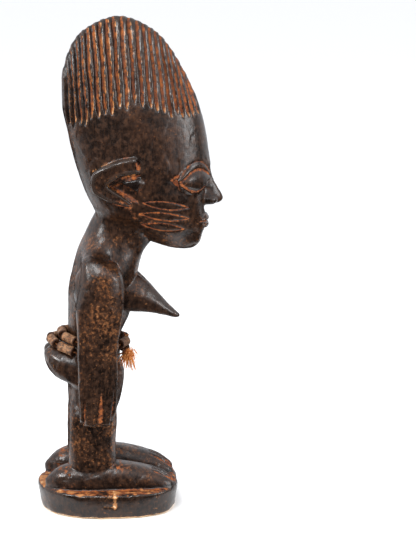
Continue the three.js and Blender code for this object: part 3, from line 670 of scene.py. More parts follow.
# Eyes: a knife line round each eyeball and a fine one above the lid
EYE_CUT = 0.55 * MM
LID_CUT = 0.4 * MM
for eye_side in (-1, 1):
    dx = x - eye_side * EYE_OUT
    dy = EYE_AHEAD - ahead
    along = dx * math.sin(eye_side * EYE_TURN) + dy * math.cos(EYE_TURN)
    rise = height - EYE_LINE
    near = (np.abs(along) < 7) & (np.abs(rise) < 5) & (ahead > 12) & (side == eye_side)
    shape = 1 - 0.5 * np.clip(along / (EYE_LENGTH / 2), -1, 1) ** 2
    ring = np.hypot(along / (EYE_LENGTH / 2), rise / (EYE_HEIGHT / 2 * shape))
    line = bell(ring - 1.06, 0.13) * near
    fold = np.hypot(along / (EYE_LENGTH / 2 + 1.0), (rise - 0.4) / ((EYE_HEIGHT / 2 + 1.3) * shape))
    crease = bell(fold - 1.02, 0.09) * near * smoothstep(rise, -0.4, 0.6)
    cut += EYE_CUT * line + LID_CUT * crease
    stain += 0.9 * line + 0.6 * crease

# Mouth: two closed lips raised with a crisp edge
LIP_HALF = 3.9
UPPER_LIP, LOWER_LIP = 1.45, 1.6
LIP_RISE = 1.5 * MM
PARTING_DEPTH = 0.5 * MM
to_corner = np.clip(np.abs(x) / LIP_HALF, 0, 1)
bow = 1 - 0.16 * bell(x, 0.7)
from_parting = height - MOUTH + 0.25 * (1 - to_corner**2)
lip_height = np.where(from_parting > 0, UPPER_LIP * bow, LOWER_LIP) * (1 - to_corner**2) ** 0.7 + 0.02
across = np.clip(np.abs(from_parting) / lip_height, 0, 1)
at_mouth = (ahead > 17) & (np.abs(height - MOUTH) < 3)
lips = np.sqrt(np.sin(math.pi * across)) * (1 - to_corner**4) ** 0.5 * at_mouth
cut -= LIP_RISE * np.nan_to_num(lips)
parting = bell(from_parting, 0.16) * (ahead > 17) * (np.abs(x) < LIP_HALF + 0.4)
cut += PARTING_DEPTH * parting
stain += 0.7 * parting

# Three long lenses cut in outline on each cheek, a lineage mark. A row is: ahead, height, half length.
CHEEK_TILT = math.radians(-9)
LENS_HALF = 0.85
LENS_LINE = 0.36 * MM
LENS_DEPTH = 0.6 * MM
for mark_ahead, mark_height, half_length in [(12.4, 61.4, 4.9), (12.2, 58.9, 5.2), (11.9, 56.5, 4.5)]:
    dx, dy = ahead - mark_ahead, height - mark_height
    along = (dx * math.cos(CHEEK_TILT) + dy * math.sin(CHEEK_TILT)) / half_length
    across = dy * math.cos(CHEEK_TILT) - dx * math.sin(CHEEK_TILT)
    edge = LENS_HALF * (1 - np.minimum(along**2, 1))
    line = bell((np.abs(across) - edge) * PART, LENS_LINE) * smoothstep(1.08 - np.abs(along), 0, 0.1)
    line = line * (np.abs(x) > 4) * (height > 50)
    cut += LENS_DEPTH * line
    stain += line

# Hands: three grooves part the fingers and run off the hand's end, and toes are parted by four.
# A row is: place of the upper end, its height, place of the lower end, width there.
FINGERTIPS = 14.2
FINGER_DEPTH = 1.6 * MM
finger_grooves = [(-4.95, 22.2, -5.6, 1.25), (-1.6, 23.2, -1.85, 2.8), (1.3, 23.4, 0.6, 1.2)]
arm_outer = (np.abs(x) * PART > ARM_INNER + 2 * PART) & (outward[:, 0] * side > 0.1)
for top, top_height, bottom, width in finger_grooves:
    down = (top_height - height) / (top_height - FINGERTIPS)
    across = np.abs(ahead - top - (bottom - top) * down)
    half = np.maximum(0.25 + (width - 0.5) / 2 * np.clip(down, 0, 1.2), 0.2)
    groove = np.clip(1 - across / half, 0, 1) ** 0.6 * np.clip(0.1 + 2 * down, 0, 1)
    groove = groove * (down > 0) * arm_outer
    cut += FINGER_DEPTH * groove * (height > 12)
    stain += 0.4 * smoothstep(groove, 0.1, 0.7) * (height > 12)

TOE_GROOVES = [-0.58, -0.2, 0.18, 0.55]  # shares of the foot's half width, outwards
TOE_GROOVE_START = 0.81
TOE_DEPTH = 2.0 * MM
along_foot = (ahead * PART - HEEL) / (TOES - HEEL)
foot_table = np.array(foot_rows)
foot_half, foot_shift = (np.interp(along_foot, foot_table[:, 0], foot_table[:, k]) for k in (2, 3))
foot_share = (np.abs(x) - LEG_CENTRE / PART - foot_shift) / foot_half
on_foot = (along_foot > TOE_GROOVE_START) & (height > 0.12) & (height < 6) & (np.abs(foot_share) < 1.1)
to_toes = np.clip((along_foot - TOE_GROOVE_START) / (1 - TOE_GROOVE_START), 0, 1)
for place in TOE_GROOVES:
    across = np.abs(foot_share - place * (0.8 + 0.2 * to_toes)) * foot_half * PART
    groove = np.clip(1 - across / ((0.6 + 1.5 * to_toes) * MM), 0, 1) ** 0.6
    groove = groove * np.clip(0.2 + 2.5 * to_toes, 0, 1) * on_foot
    cut += TOE_DEPTH * groove
    stain += 0.9 * smoothstep(groove, 0.1, 0.7)
toe_tips = smoothstep(along_foot, 0.9, 0.98) * (height > 0.1) * (height < 2.2)
stain += 0.55 * toe_tips * smoothstep(pitting, -0.4, 0.2)

# Old damage, seen from the side. A row is: which side, from (ahead, height), to (ahead, height), half
# width, depth in millimetres, how bare it is. The right side is -1.
damage = [
    (-1, (-7.1, 46.3), (-7.15, 42.6), 0.7, 0.6, 0.9),
    (-1, (-6.95, 45.2), (-7.0, 43.4), 0.5, 0.8, -0.8),
    (-1, (0.95, -0.3), (1.15, -3.1), 2.3, 0.3, 0.68),
    (-1, (-0.4, -0.5), (1.6, -0.4), 1.7, 0.2, 0.66),
    (-1, (1.1, -2.8), (-1.3, -2.6), 1.6, 0.2, 0.55),
    (-1, (9.95, -0.2), (10.0, -1.6), 0.55, 0.2, 0.6),
    (-1, (9.3, -3.75), (10.2, -3.8), 0.8, 0.25, 0.6),
    (-1, (11.2, -3.4), (12.4, -2.6), 0.7, 0.15, 0.35),
    (-1, (2.5, -3.6), (5.5, -4.3), 0.8, 0.1, 0.3),
    (1, (6.2, -0.8), (7.0, -3.6), 0.5, 0.25, 0.8),
    (1, (-6.9, 41.0), (-7.0, 38.4), 0.5, 0.5, 0.8),
]
for which, begin, end, half_width, depth, paleness in damage:
    distance, along = beside(*begin, *end, ahead, height)
    ragged = half_width * (0.75 + 0.35 * np.sin(along * 19 + which) * np.sin(along * 7 + 1))
    mark = smoothstep(1 - distance * PART / (ragged * MM), 0, 0.6) * (side == which)
    mark = mark * (outward[:, 0] * which > -0.25) * (np.abs(x) > 7)
    cut += depth * MM * mark
    bare += paleness * mark
    stain += 0.6 * abs(paleness) * mark
HOLE_RADIUS = 1.1 * MM
HOLE_DEPTH = 0.9 * MM
for which, hole_ahead, hole_height in [(-1, -8.5, 3.2), (1, -6.2, 2.6)]:
    hole = smoothstep(1 - np.hypot(ahead - hole_ahead, height - hole_height) * PART / HOLE_RADIUS, 0, 0.5)
    cut += HOLE_DEPTH * hole * (side == which)

# The knife's facets: each stroke leaves a small plane, tilted a little from its neighbours
STROKES = 620
STROKE_STRETCH = 0.55  # strokes run up and down, so that height counts less in what lies near
STROKE_DEPTH = 0.11 * MM
STROKE_REACH = 7 * MM  # from a stroke's middle to where it has its full depth
stretched = skin * (1, 1, STROKE_STRETCH)
chosen = chance.choice(len(skin), STROKES, replace=False)
tree = KDTree(STROKES)
for index, vertex in enumerate(chosen):
    tree.insert(stretched[vertex], index)
tree.balance()
stroke = np.array([tree.find(spot)[1] for spot in stretched])
tilt = chance.normal(0, 1, (STROKES, 3))
facet = ((skin - skin[chosen[stroke]]) * tilt[stroke]).sum(1) / STROKE_REACH
off_flutes = 1 - smoothstep(height, 74, 80)
cut += STROKE_DEPTH * np.clip(facet, -1.2, 1.2) * (0.35 + 0.65 * off_flutes) * (height > 0.3)


def oval(at_ahead, at_height, half_length, half_height):
    """1 in the middle of an oval patch seen from the side, falling away to nothing round it."""
    return np.exp(-(((ahead - at_ahead) / half_length) ** 2) - ((height - at_height) / half_height) ** 2)


# Weathering: shallow pits and swellings all over, deepest on the heels, which are rubbed to a gloss. The
# heels and a patch on each buttock are painted greyer, a painted sheen
heel = oval(-8.9, 2.4, 2.2, 1.3)
buttock = oval(-12.0, 28.0, 1.6, 2.2)
cut += (0.09 + 0.2 * heel + 0.15 * buttock) * MM * pitting
polished_and_sheen += 1.2 * heel + 1.2 * buttock

# The ground is cut back under the inner side of each heel
UNDERCUT = 1.5 * MM
by_heel = (along_foot < 0.2) & (np.abs(height - 1.2) < 1.2) & (np.abs(outward[:, 2]) < 0.6)
cut += UNDERCUT * smoothstep(LEG_CENTRE / PART - np.abs(x), 0.5, 2) * by_heel

# Knocks along the plinth's two edges
KNOCKS = 46
steepness = np.abs(outward[:, 2])
edge_points = np.flatnonzero((height < 0.1) & (steepness < 0.9) & (steepness > 0.35))
for vertex in chance.choice(edge_points, KNOCKS, replace=False):
    reach = chance.uniform(1.2, 3.6) * MM
    dent = bell(np.linalg.norm(skin - skin[vertex], axis=1), reach)
    cut += chance.uniform(0.1, 0.55) * MM * dent
    bare += chance.uniform(0, 0.35) * dent

skin = skin - outward * cut[:, None]
carving.data.vertices.foreach_set("co", skin.astype(np.float32).ravel())
apply_modifier(carving, "SMOOTH", factor=0.35, iterations=1)

# Where the surface is hollow or proud, fine and broad, from how it differs from its own smoothed shape
FINE, BROAD = 8, 60  # rounds of smoothing
skin = read(carving.data.vertices, "co")
outward = read(carving.data.vertex_normals, "vector")
links = np.bincount(edges.ravel(), minlength=len(skin))[:, None]
smoothed = skin
relief = {}
for step in range(1, BROAD + 1):
    smoothed = neighbours_sum(smoothed, edges) / links
    if step in (FINE, BROAD):
        relief[step] = ((smoothed - skin) * outward).sum(1)
hollows = np.clip(relief[FINE] / (0.3 * MM), 0, 1) * 0.6 + np.clip(relief[BROAD] / (1.6 * MM), 0, 1) * 0.35
proud = np.clip(-relief[FINE] / (0.3 * MM), 0, 1) * 0.6 + np.clip(-relief[BROAD] / (1.5 * MM), 0, 1) * 0.5

# Residue on the plinth's upper face and its worn edge, round the ankles, on the cheeks and along the jaw,
# and a pale rim under the plinth
FIBRE_SIZE = 1.3 * MM
upper_face = smoothstep(outward[:, 2], 0.6, 0.95) * (height < 0.35) * (height > -0.5)
fibres = np.array([noise.noise(Vector(spot) / FIBRE_SIZE) for spot in skin * (1, 0.14, 1)])
behind = smoothstep(-ahead, 8, 12)
stain += upper_face * (0.95 + 1.2 * fibres + 0.2 * behind)
soot += upper_face * smoothstep(-fibres, 0.2, 0.45)
bare += upper_face * (0.35 + fibres + 0.3 * behind)
bare += 1.6 * (1 - smoothstep(skin[:, 2], 0.7 * MM, 1.8 * MM))
stain += 0.24 * oval(9, 66, 5, 6) * (np.abs(x) > 5) * smoothstep(pitting, -0.4, 0.3)
jaw = beside(2.0, 62.0, 9.0, 57.4, ahead, height)[0]
stain += 0.4 * (1 - smoothstep(jaw, 0.4, 2.2)) * (np.abs(x) > 2)
for ankle_ahead in (-9.6, 2.6):
    stain += 1.1 * oval(ankle_ahead, 4.4, 2.0, 1.1) * (along_foot > 0.03) * smoothstep(pitting, -0.35, 0.3)
stain += 0.35 * (1 - smoothstep(height, 1.0, 3.2)) * (height > 0.4) * (ahead < -7)

# What lies on the surface dulls the rubbed places
proud = (proud + 0.8 * polished_and_sheen) * (1 - 0.85 * np.clip(stain, 0, 1))

# Loose dust, most of it on the arms above the wrist
on_arm = smoothstep(np.abs(x), 7.4, 8.2) * (height > 15) * (height < 52)
dust = 0.25 + 0.3 * smoothstep(height, 42, 48) * (1 - smoothstep(height, 57, 60))
dust -= 0.35 * smoothstep(height, 58, 61)
dust += 0.3 * (height < 0) * smoothstep(ahead, 2, 10)
dust += 0.62 * smoothstep(height, 3, 5) * (1 - smoothstep(height, 15, 18))
dust += on_arm * (0.1 + 0.55 * bell(height - 35, 8) * (1 + 0.3 * (ahead + 2)).clip(0.4, 1.3))
dust += 0.55 * bell(ahead + 7, 1.6) * (np.abs(x) < 7) * smoothstep(height, 31, 35)
# A painted band of shade where the feet meet the plinth
soot += (1 - smoothstep(np.abs(height - 0.5), 0.1, 0.5)) * (outward[:, 2] < 0.8) * (ahead > -9)
# The plinth's walls are darkened a quarter
soot += 0.25 * (height < 0) * (np.abs(outward[:, 2]) < 0.5)

for name, values in {
    "hollows": hollows,
    "proud": proud,
    "flute": flute,
    "stain": stain,
    "bare": bare,
    "dust": dust,
    "soot": soot,
}.items():
    attribute = carving.data.attributes.new(name, "FLOAT", "POINT")
    attribute.data.foreach_set("value", np.clip(values, 0, 1.5).astype(np.float32))

MOST_TRIANGLES = 196000
apply_modifier(carving, "DECIMATE", ratio=MOST_TRIANGLES / (2 * len(carving.data.polygons)))
carving.data.polygons.foreach_set("use_smooth", [True] * len(carving.data.polygons))


def linear(colour):
    """An sRGB hex colour as a linear RGBA."""
    parts = [int(colour[i : i + 2], 16) / 255 for i in (1, 3, 5)]
    return (*[c / 12.92 if c <= 0.04045 else ((c + 0.055) / 1.055) ** 2.4 for c in parts], 1)


def add(tree, kind, links=None, **settings):
    """Adds a node. links holds, by the name or number of an input, a value or another node's output. By
    number, a map range takes its value at 0 and its limits from 1 to 4, and a mix of colours its share at 0
    and its two colours at 6 and 7."""
    made = tree.nodes.new(kind)
    for name, value in settings.items():
        setattr(made, name, value)
    for socket, value in (links or {}).items():
        if isinstance(value, bpy.types.NodeSocket):
            tree.links.new(value, made.inputs[socket])
        else:
            made.inputs[socket].default_value = value
    return made


# Hardwood with a handled, smoked patina: nearly black brown, satin where hands polish it, with orange-brown
# camwood powder and dust left in every hollow. It gives the eye dark gloss against matt warm grooves.
def handled_hardwood():
    material = bpy.data.materials.new("handled_hardwood")
    material.use_nodes = True
    tree = material.node_tree
    shader = tree.nodes["Principled BSDF"]
    spot = add(tree, "ShaderNodeTexCoord").outputs["Object"]
    hollow, high, fluted, stained, scraped_and_highlit, dusted, sooted_and_shaded = [
        add(tree, "ShaderNodeAttribute", attribute_name=name).outputs["Fac"]
        for name in ("hollows", "proud", "flute", "stain", "bare", "dust", "soot")
    ]

    # Broad drifts of the patina 14 mm across, mottling of 3 mm, grit of 1.1 mm, and grain drawn out
    # upwards, 0.8 mm wide, which is coarser than the real pores so that it shows
    along_grain = add(tree, "ShaderNodeMapping", {"Vector": spot, "Scale": (1.0, 1.0, 0.12)}).outputs[0]
    drift, mottle, grit, grain = [
        add(
            tree,
            "ShaderNodeTexNoise",
            {"Vector": place, "Scale": 1 / (size * MM), "Detail": detail, "Roughness": roughness},
        ).outputs[0]
        for place, size, detail, roughness in (
            (spot, 14, 4.0, 0.5),
            (spot, 3, 6.0, 0.65),
            (spot, 1.1, 3.0, 0.7),
            (along_grain, 0.8, 3.0, 0.6),
        )
    ]
    drifted, mottled, gritty, streaked = [
        add(
            tree, "ShaderNodeMapRange", {0: pattern, 1: low, 2: high_end}, interpolation_type="SMOOTHSTEP"
        ).outputs[0]
        for pattern, low, high_end in (
            (drift, 0.36, 0.66),
            (mottle, 0.42, 0.66),
            (grit, 0.53, 0.64),
            (grain, 0.5, 0.72),
        )
    ]
    dark = add(
        tree, "ShaderNodeMix", {0: drifted, 6: linear("#130a06"), 7: linear("#23140c")}, data_type="RGBA"
    ).outputs[2]
    brown_share = add(tree, "ShaderNodeMath", {0: mottled, 1: 0.6}, operation="MULTIPLY").outputs[0]
    streak_share = add(tree, "ShaderNodeMath", {0: streaked, 1: 0.22}, operation="MULTIPLY").outputs[0]

    # Powder in all hollows, flutes and stained places, broken up by the mottling, with black specks in it
    laid = add(
        tree, "ShaderNodeMath", {0: hollow, 1: 0.75, 2: stained}, operation="MULTIPLY_ADD"
    ).outputs[0]
    deep = add(tree, "ShaderNodeMath", {0: fluted, 1: laid}, operation="ADD").outputs[0]
    broken = add(
        tree, "ShaderNodeMath", {0: mottle, 1: 1.7, 2: -0.95}, operation="MULTIPLY_ADD"
    ).outputs[0]
    uneven = add(tree, "ShaderNodeMath", {0: deep, 1: broken}, operation="ADD").outputs[0]
    powder_share = add(
        tree, "ShaderNodeMapRange", {0: uneven, 1: 0.3, 2: 0.95}, interpolation_type="SMOOTHSTEP"
    ).outputs[0]
    powder = add(
        tree, "ShaderNodeMix", {0: mottled, 6: linear("#6c310b"), 7: linear("#a4581a")}, data_type="RGBA"
    ).outputs[2]
    specked = add(
        tree, "ShaderNodeMix", {0: gritty, 6: powder, 7: linear("#130b07")}, data_type="RGBA"
    ).outputs[2]

    # High spots are rubbed to a harder shine and painted greyer: partly worn wood, partly a painted sheen
    rub_and_sheen = add(tree, "ShaderNodeMath", {0: high, 1: mottle}, operation="MULTIPLY").outputs[0]
    rubbed_and_sheen_share = add(
        tree, "ShaderNodeMapRange", {0: rub_and_sheen, 1: 0.12, 2: 0.6, 4: 0.8}, interpolation_type="SMOOTHSTEP"
    ).outputs[0]

    # Dust clings in blotches, 1.7 mm across
    blotch = add(
        tree,
        "ShaderNodeTexNoise",
        {"Vector": spot, "Scale": 1 / (1.7 * MM), "Detail": 8.0, "Roughness": 0.7},
    ).outputs[0]
    gathered = add(
        tree, "ShaderNodeMath", {0: drift, 1: 0.35, 2: blotch}, operation="MULTIPLY_ADD"
    ).outputs[0]
    clinging = add(
        tree, "ShaderNodeMath", {0: dusted, 1: 0.12, 2: gathered}, operation="MULTIPLY_ADD"
    ).outputs[0]
    dust_share = add(
        tree,
        "ShaderNodeMapRange",
        {0: clinging, 1: 0.78, 2: 0.93, 4: 0.85},
        interpolation_type="SMOOTHSTEP",
    ).outputs[0]
    dust = add(
        tree, "ShaderNodeMix", {0: gritty, 6: linear("#6a3f1f"), 7: linear("#95633a")}, data_type="RGBA"
    ).outputs[2]

    # Scraped places show the pale wood, palest where most is gone; this layer also paints highlights on the
    # flutes' lit edges
    scrape = add(tree, "ShaderNodeMath", {0: scraped_and_highlit, 1: broken}, operation="ADD").outputs[0]
    scraped_share, cut_share = [
        add(
            tree, "ShaderNodeMapRange", {0: scrape, 1: low, 2: high_end}, interpolation_type="SMOOTHSTEP"
        ).outputs[0]
        for low, high_end in ((0.25, 0.8), (0.85, 1.3))
    ]

    # The layers over the dark wood, from the innermost outwards: brown wood, streaks of grain, powder, the
    # rubbed shine with its painted sheen, dust, soot with painted shade, scuffed wood with painted
    # highlights, and freshly cut wood
    colour = dark
    for share, layer in (
        (brown_share, linear("#432a1a")),
        (streak_share, linear("#5a381e")),
        (powder_share, specked),
        (rubbed_and_sheen_share, linear("#2f2621")),
        (dust_share, dust),
        (sooted_and_shaded, linear("#0e0806")),
        (scraped_share, linear("#a8703f")),
        (cut_share, linear("#e6c8a0")),
    ):
        colour = add(tree, "ShaderNodeMix", {0: share, 6: colour, 7: layer}, data_type="RGBA").outputs[2]

    # Satin wood, matt powder and glossier rubbed places
    matt = add(
        tree, "ShaderNodeMath", {0: powder_share, 1: 0.42, 2: 0.19}, operation="MULTIPLY_ADD"
    ).outputs[0]
    varied = add(tree, "ShaderNodeMath", {0: mottle, 1: 0.22, 2: matt}, operation="MULTIPLY_ADD").outputs[0]
    shine = add(
        tree,
        "ShaderNodeMath",
        {0: rubbed_and_sheen_share, 1: -0.16, 2: varied},
        operation="MULTIPLY_ADD",
        use_clamp=True,
    ).outputs[0]
    grained = add(
        tree, "ShaderNodeBump", {"Strength": 0.35, "Distance": 0.25 * MM, "Height": grain}
    ).outputs[0]
    bumped = add(
        tree,
        "ShaderNodeBump",
        {"Strength": 0.5, "Distance": 0.22 * MM, "Height": mottle, "Normal": grained},
    ).outputs[0]
    tree.links.new(colour, shader.inputs["Base Color"])
    tree.links.new(shine, shader.inputs["Roughness"])
    shader.inputs["Specular IOR Level"].default_value = 0.45
    tree.links.new(bumped, shader.inputs["Normal"])
    return material


carving.data.materials.clear()
carving.data.materials.append(handled_hardwood())
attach(carving, "root")
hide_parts("figure")

# The beads: short tubes ground from shell or nut, drilled and strung end to end. Long wear has rounded and
# cupped their ends, and the powder rubbed on the figure has stained their joints.
BEAD_RADIUS = 2.75 * MM
BEAD_HALF = 5.4 * MM
BORE = 0.95 * MM
# Half of the section, as distance from the axis and place along it, from the bore's middle outwards
bead_profile = [
    (BORE, 0),
    (BORE, 3.2 * MM),
    (BORE * 1.04, 4.6 * MM),
    (1.3 * MM, 4.95 * MM),
    (1.8 * MM, 5.1 * MM),
    (2.35 * MM, BEAD_HALF),
    (2.62 * MM, 5.1 * MM),
    (2.78 * MM, 4.8 * MM),
    (BEAD_RADIUS, 4.2 * MM),
    (BEAD_RADIUS * 0.985, 2.8 * MM),
    (BEAD_RADIUS * 0.97, 1.4 * MM),
]
BEAD_SIDES = 32
UNEVENNESS = 420  # how fast a bead's swelling turns, in radians to a metre of its length


# Weathered shell: chalky tan, with dark cracks, and orange dust in its pits and on its ends
def weathered_shell():
    material = bpy.data.materials.new("weathered_shell")
    material.use_nodes = True
    tree = material.node_tree
    shader = tree.nodes["Principled BSDF"]
    spot = add(tree, "ShaderNodeTexCoord").outputs["Object"]
    end, tone = [
        add(tree, "ShaderNodeAttribute", attribute_name=name).outputs["Fac"] for name in ("end", "tone")
    ]
    cloud, pits = [
        add(
            tree,
            "ShaderNodeTexNoise",
            {"Vector": spot, "Scale": 1 / (size * MM), "Detail": 4.0, "Roughness": 0.68},
        ).outputs[0]
        for size in (2.6, 0.9)
    ]
    clouded, pitted, cracked = [
        add(
            tree, "ShaderNodeMapRange", {0: pattern, 1: low, 2: high_end}, interpolation_type="SMOOTHSTEP"
        ).outputs[0]
        for pattern, low, high_end in ((cloud, 0.38, 0.62), (pits, 0.5, 0.66), (pits, 0.46, 0.36))
    ]
    dusty = add(tree, "ShaderNodeMath", {0: pitted, 1: 0.5}, operation="MULTIPLY").outputs[0]
    shell = add(
        tree, "ShaderNodeMix", {0: clouded, 6: linear("#573e2c"), 7: linear("#ae835f")}, data_type="RGBA"
    ).outputs[2]
    # Over the shell: a dark tone that differs at random from bead to bead, with painted shade deepening it
    # on the beads in front, then cracks, dust, and grime on its ends
    colour = shell
    for share, layer in (
        (tone, "#2a1b12"),
        (cracked, "#1c110a"),
        (dusty, "#b26a34"),
        (end, "#3a2010"),
    ):
        colour = add(
            tree, "ShaderNodeMix", {0: share, 6: colour, 7: linear(layer)}, data_type="RGBA"
        ).outputs[2]
    bumped = add(
        tree, "ShaderNodeBump", {"Strength": 0.6, "Distance": 0.3 * MM, "Height": pits}
    ).outputs[0]
    tree.links.new(colour, shader.inputs["Base Color"])
    tree.links.new(bumped, shader.inputs["Normal"])
    shader.inputs["Roughness"].default_value = 0.6
    shader.inputs["Specular IOR Level"].default_value = 0.3
    return material


shell_finish = weathered_shell()
bead_names = sorted(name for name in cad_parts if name.startswith("bead_"))
bead_axes = {}
for name in bead_names:
    corners = read(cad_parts[name].data.vertices, "co")
    directions = np.linalg.eigh(np.cov((corners - corners.mean(0)).T))[1]
    bead_axes[name] = (Vector(corners.mean(0)), Vector(directions[:, 2]))

    shape = bmesh.new()
    half_section = [shape.verts.new((r, 0, z)) for r, z in bead_profile]
    other_half = [shape.verts.new((r, 0, -z)) for r, z in bead_profile[:0:-1]]
    ring = half_section + other_half
    chain = [shape.edges.new((a, b)) for a, b in zip(ring, ring[1:] + ring[:1])]
    bmesh.ops.spin(
        shape,
        geom=ring + chain,
        cent=(0, 0, 0),
        axis=(0, 0, 1),
        angle=2 * math.pi,
        steps=BEAD_SIDES,
        use_merge=True,
    )
    # Spin leaves its faces in a chance order, so they are numbered by their corners
    shape.verts.index_update()
    ordered = sorted(shape.faces, key=lambda face: sorted(vert.index for vert in face.verts))
    for number, face in enumerate(ordered):
        face.index = number
    shape.faces.sort()
    bmesh.ops.recalc_face_normals(shape, faces=shape.faces)
    ends = [smoothstep(abs(vert.co.z), 3.9 * MM, 5.0 * MM) for vert in shape.verts]
    lean = chance.uniform(-0.06, 0.06, 2)
    phase = chance.uniform(0, 6.3, 3)
    for vert in shape.verts:
        turn = math.atan2(vert.co.y, vert.co.x)
        swell = 1 + 0.025 * math.sin(2 * turn + phase[0])
        swell += 0.02 * math.sin(3 * turn + UNEVENNESS * vert.co.z + phase[1])
        vert.co.x *= swell
        vert.co.y *= swell
        vert.co.z += (lean[0] * vert.co.x + lean[1] * vert.co.y) * abs(vert.co.z) / BEAD_HALF
    to_place = bead_axes[name][1].to_track_quat("Z", "Y").to_matrix().to_4x4()
    to_place.translation = bead_axes[name][0]
    bmesh.ops.transform(shape, matrix=to_place, verts=shape.verts)
    mesh = bpy.data.meshes.new(name)
    shape.to_mesh(mesh)
    shape.free()
    mesh.attributes.new("end", "FLOAT", "POINT").data.foreach_set("value", ends)
    # A dark tone that differs at random from bead to bead, and painted shade that deepens on the beads in
    # front
    tone = chance.uniform(0, 0.35) + 0.3 * smoothstep(-bead_axes[name][0].y, 0, 9 * MM)
    mesh.attributes.new("tone", "FLOAT", "POINT").data.foreach_set("value", [tone] * len(ends))
    mesh.polygons.foreach_set("use_smooth", [True] * len(mesh.polygons))
    mesh.materials.append(shell_finish)
    bead = bpy.data.objects.new("shell_" + name, mesh)
    bpy.context.collection.objects.link(bead)
    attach(bead, "root")
    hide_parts(name)

# The strings: two plies of palm fibre twisted together, threaded through the beads and tied in front. The
# upper one's ends are short, and the lower one's hang from the knot as a frayed tuft, stiff with powder.
PLY_RADIUS = 0.3 * MM
TWIST = 2.2 * MM  # the length of one turn of the plies
STEPS_IN_TWIST = 9
STRING_PLAY = 0.2 * MM
KNOT_REACH = 1.9 * MM
KNOT_STEPS = 60
FIBRE_STEPS = 14
SPLAY = 1.4 * MM


# Raw palm fibre, rubbed with orange powder: matt, streaked along its length
def palm_fibre(name, dark, light):
    material = bpy.data.materials.new(name)
    material.use_nodes = True
    tree = material.node_tree
    shader = tree.nodes["Principled BSDF"]
    spot = add(tree, "ShaderNodeTexCoord").outputs["Object"]
    streak = add(
        tree,
        "ShaderNodeTexNoise",
        {"Vector": spot, "Scale": 1 / (1.2 * MM), "Detail": 4.0, "Roughness": 0.7},
    ).outputs[0]
    streaked = add(
        tree, "ShaderNodeMapRange", {0: streak, 1: 0.36, 2: 0.64}, interpolation_type="SMOOTHSTEP"
    ).outputs[0]
    colour = add(
        tree, "ShaderNodeMix", {0: streaked, 6: linear(dark), 7: linear(light)}, data_type="RGBA"
    ).outputs[2]
    bumped = add(
        tree, "ShaderNodeBump", {"Strength": 0.6, "Distance": 0.2 * MM, "Height": streak}
    ).outputs[0]
    tree.links.new(colour, shader.inputs["Base Color"])
    tree.links.new(bumped, shader.inputs["Normal"])
    shader.inputs["Roughness"].default_value = 0.85
    shader.inputs["Specular IOR Level"].default_value = 0.2
    return material


def spline(curve, points, radii, finish, closed=False):
    """Adds a line through points to the curve, with a share of the ply's radius at each."""
    made = curve.splines.new("POLY")
    made.material_index = finish
    made.points.add(len(points) - 1)
    made.points.foreach_set("co", np.column_stack([points, np.ones(len(points))]).ravel())
    made.points.foreach_set("radius", np.broadcast_to(radii, len(points)))
    made.use_cyclic_u = closed


# The strands as the beads lie on them, each with its knot's place as out, ahead and height
strands = {
    "upper": (0.95 * MM, 11.47 * MM, 100.61 * MM),
    "lower": (-6.72 * MM, 10.09 * MM, 94.24 * MM),
}
# Ways that the loose ends take from the knot, as out, ahead and up in millimetres
loose_ends = {
    "upper": [
        [(0, 0, 0), (-0.5, 0.2, 2.2), (-1.4, -0.2, 3.6)],
        [(0, 0, 0), (0.8, 0.6, 2.2), (1.9, 0.9, 3.2)],
    ],
    "lower": [
        [(0, 0, 0), (0.3, 2.6, 0.9), (0.5, 5.2, 0.6), (0.8, 6.9, -3.2)],
        [(0, 0, 0), (-0.5, 2.0, 0.4), (-0.8, 4.6, -3.4), (-1.0, 5.9, -9.6)],
        [(0, 0, 0), (0.6, 1.6, -1.0), (1.0, 3.0, -4.8), (1.4, 3.8, -9.8)],
        [(0, 0, 0), (-0.8, 0.9, -1.6), (-1.2, 1.3, -4.8), (-1.6, 1.0, -8.6)],
        [(0, 0, 0), (-0.7, 0.2, -1.8), (-1.3, -0.9, -3.4), (-1.8, -2.0, -5.2)],
        [(0, 0, 0), (-1.3, 1.6, 0.2), (-2.4, 3.2, -1.2), (-2.8, 4.0, -5.0)],
        [(0, 0, 0), (1.3, 1.8, 0.2), (2.5, 3.4, -1.6), (3.1, 4.2, -6.0)],
    ],
}
FIBRES_IN_END = {"upper": 3, "lower": 18}
RUN, LOOSE = 0, 1  # the finish of the run and the knot, and that of the loose ends
fibre_finishes = [
    palm_fibre("worn_palm_fibre", "#432413", "#754421"),
    palm_fibre("powdered_palm_fibre", "#a8521e", "#e8a563"),
]

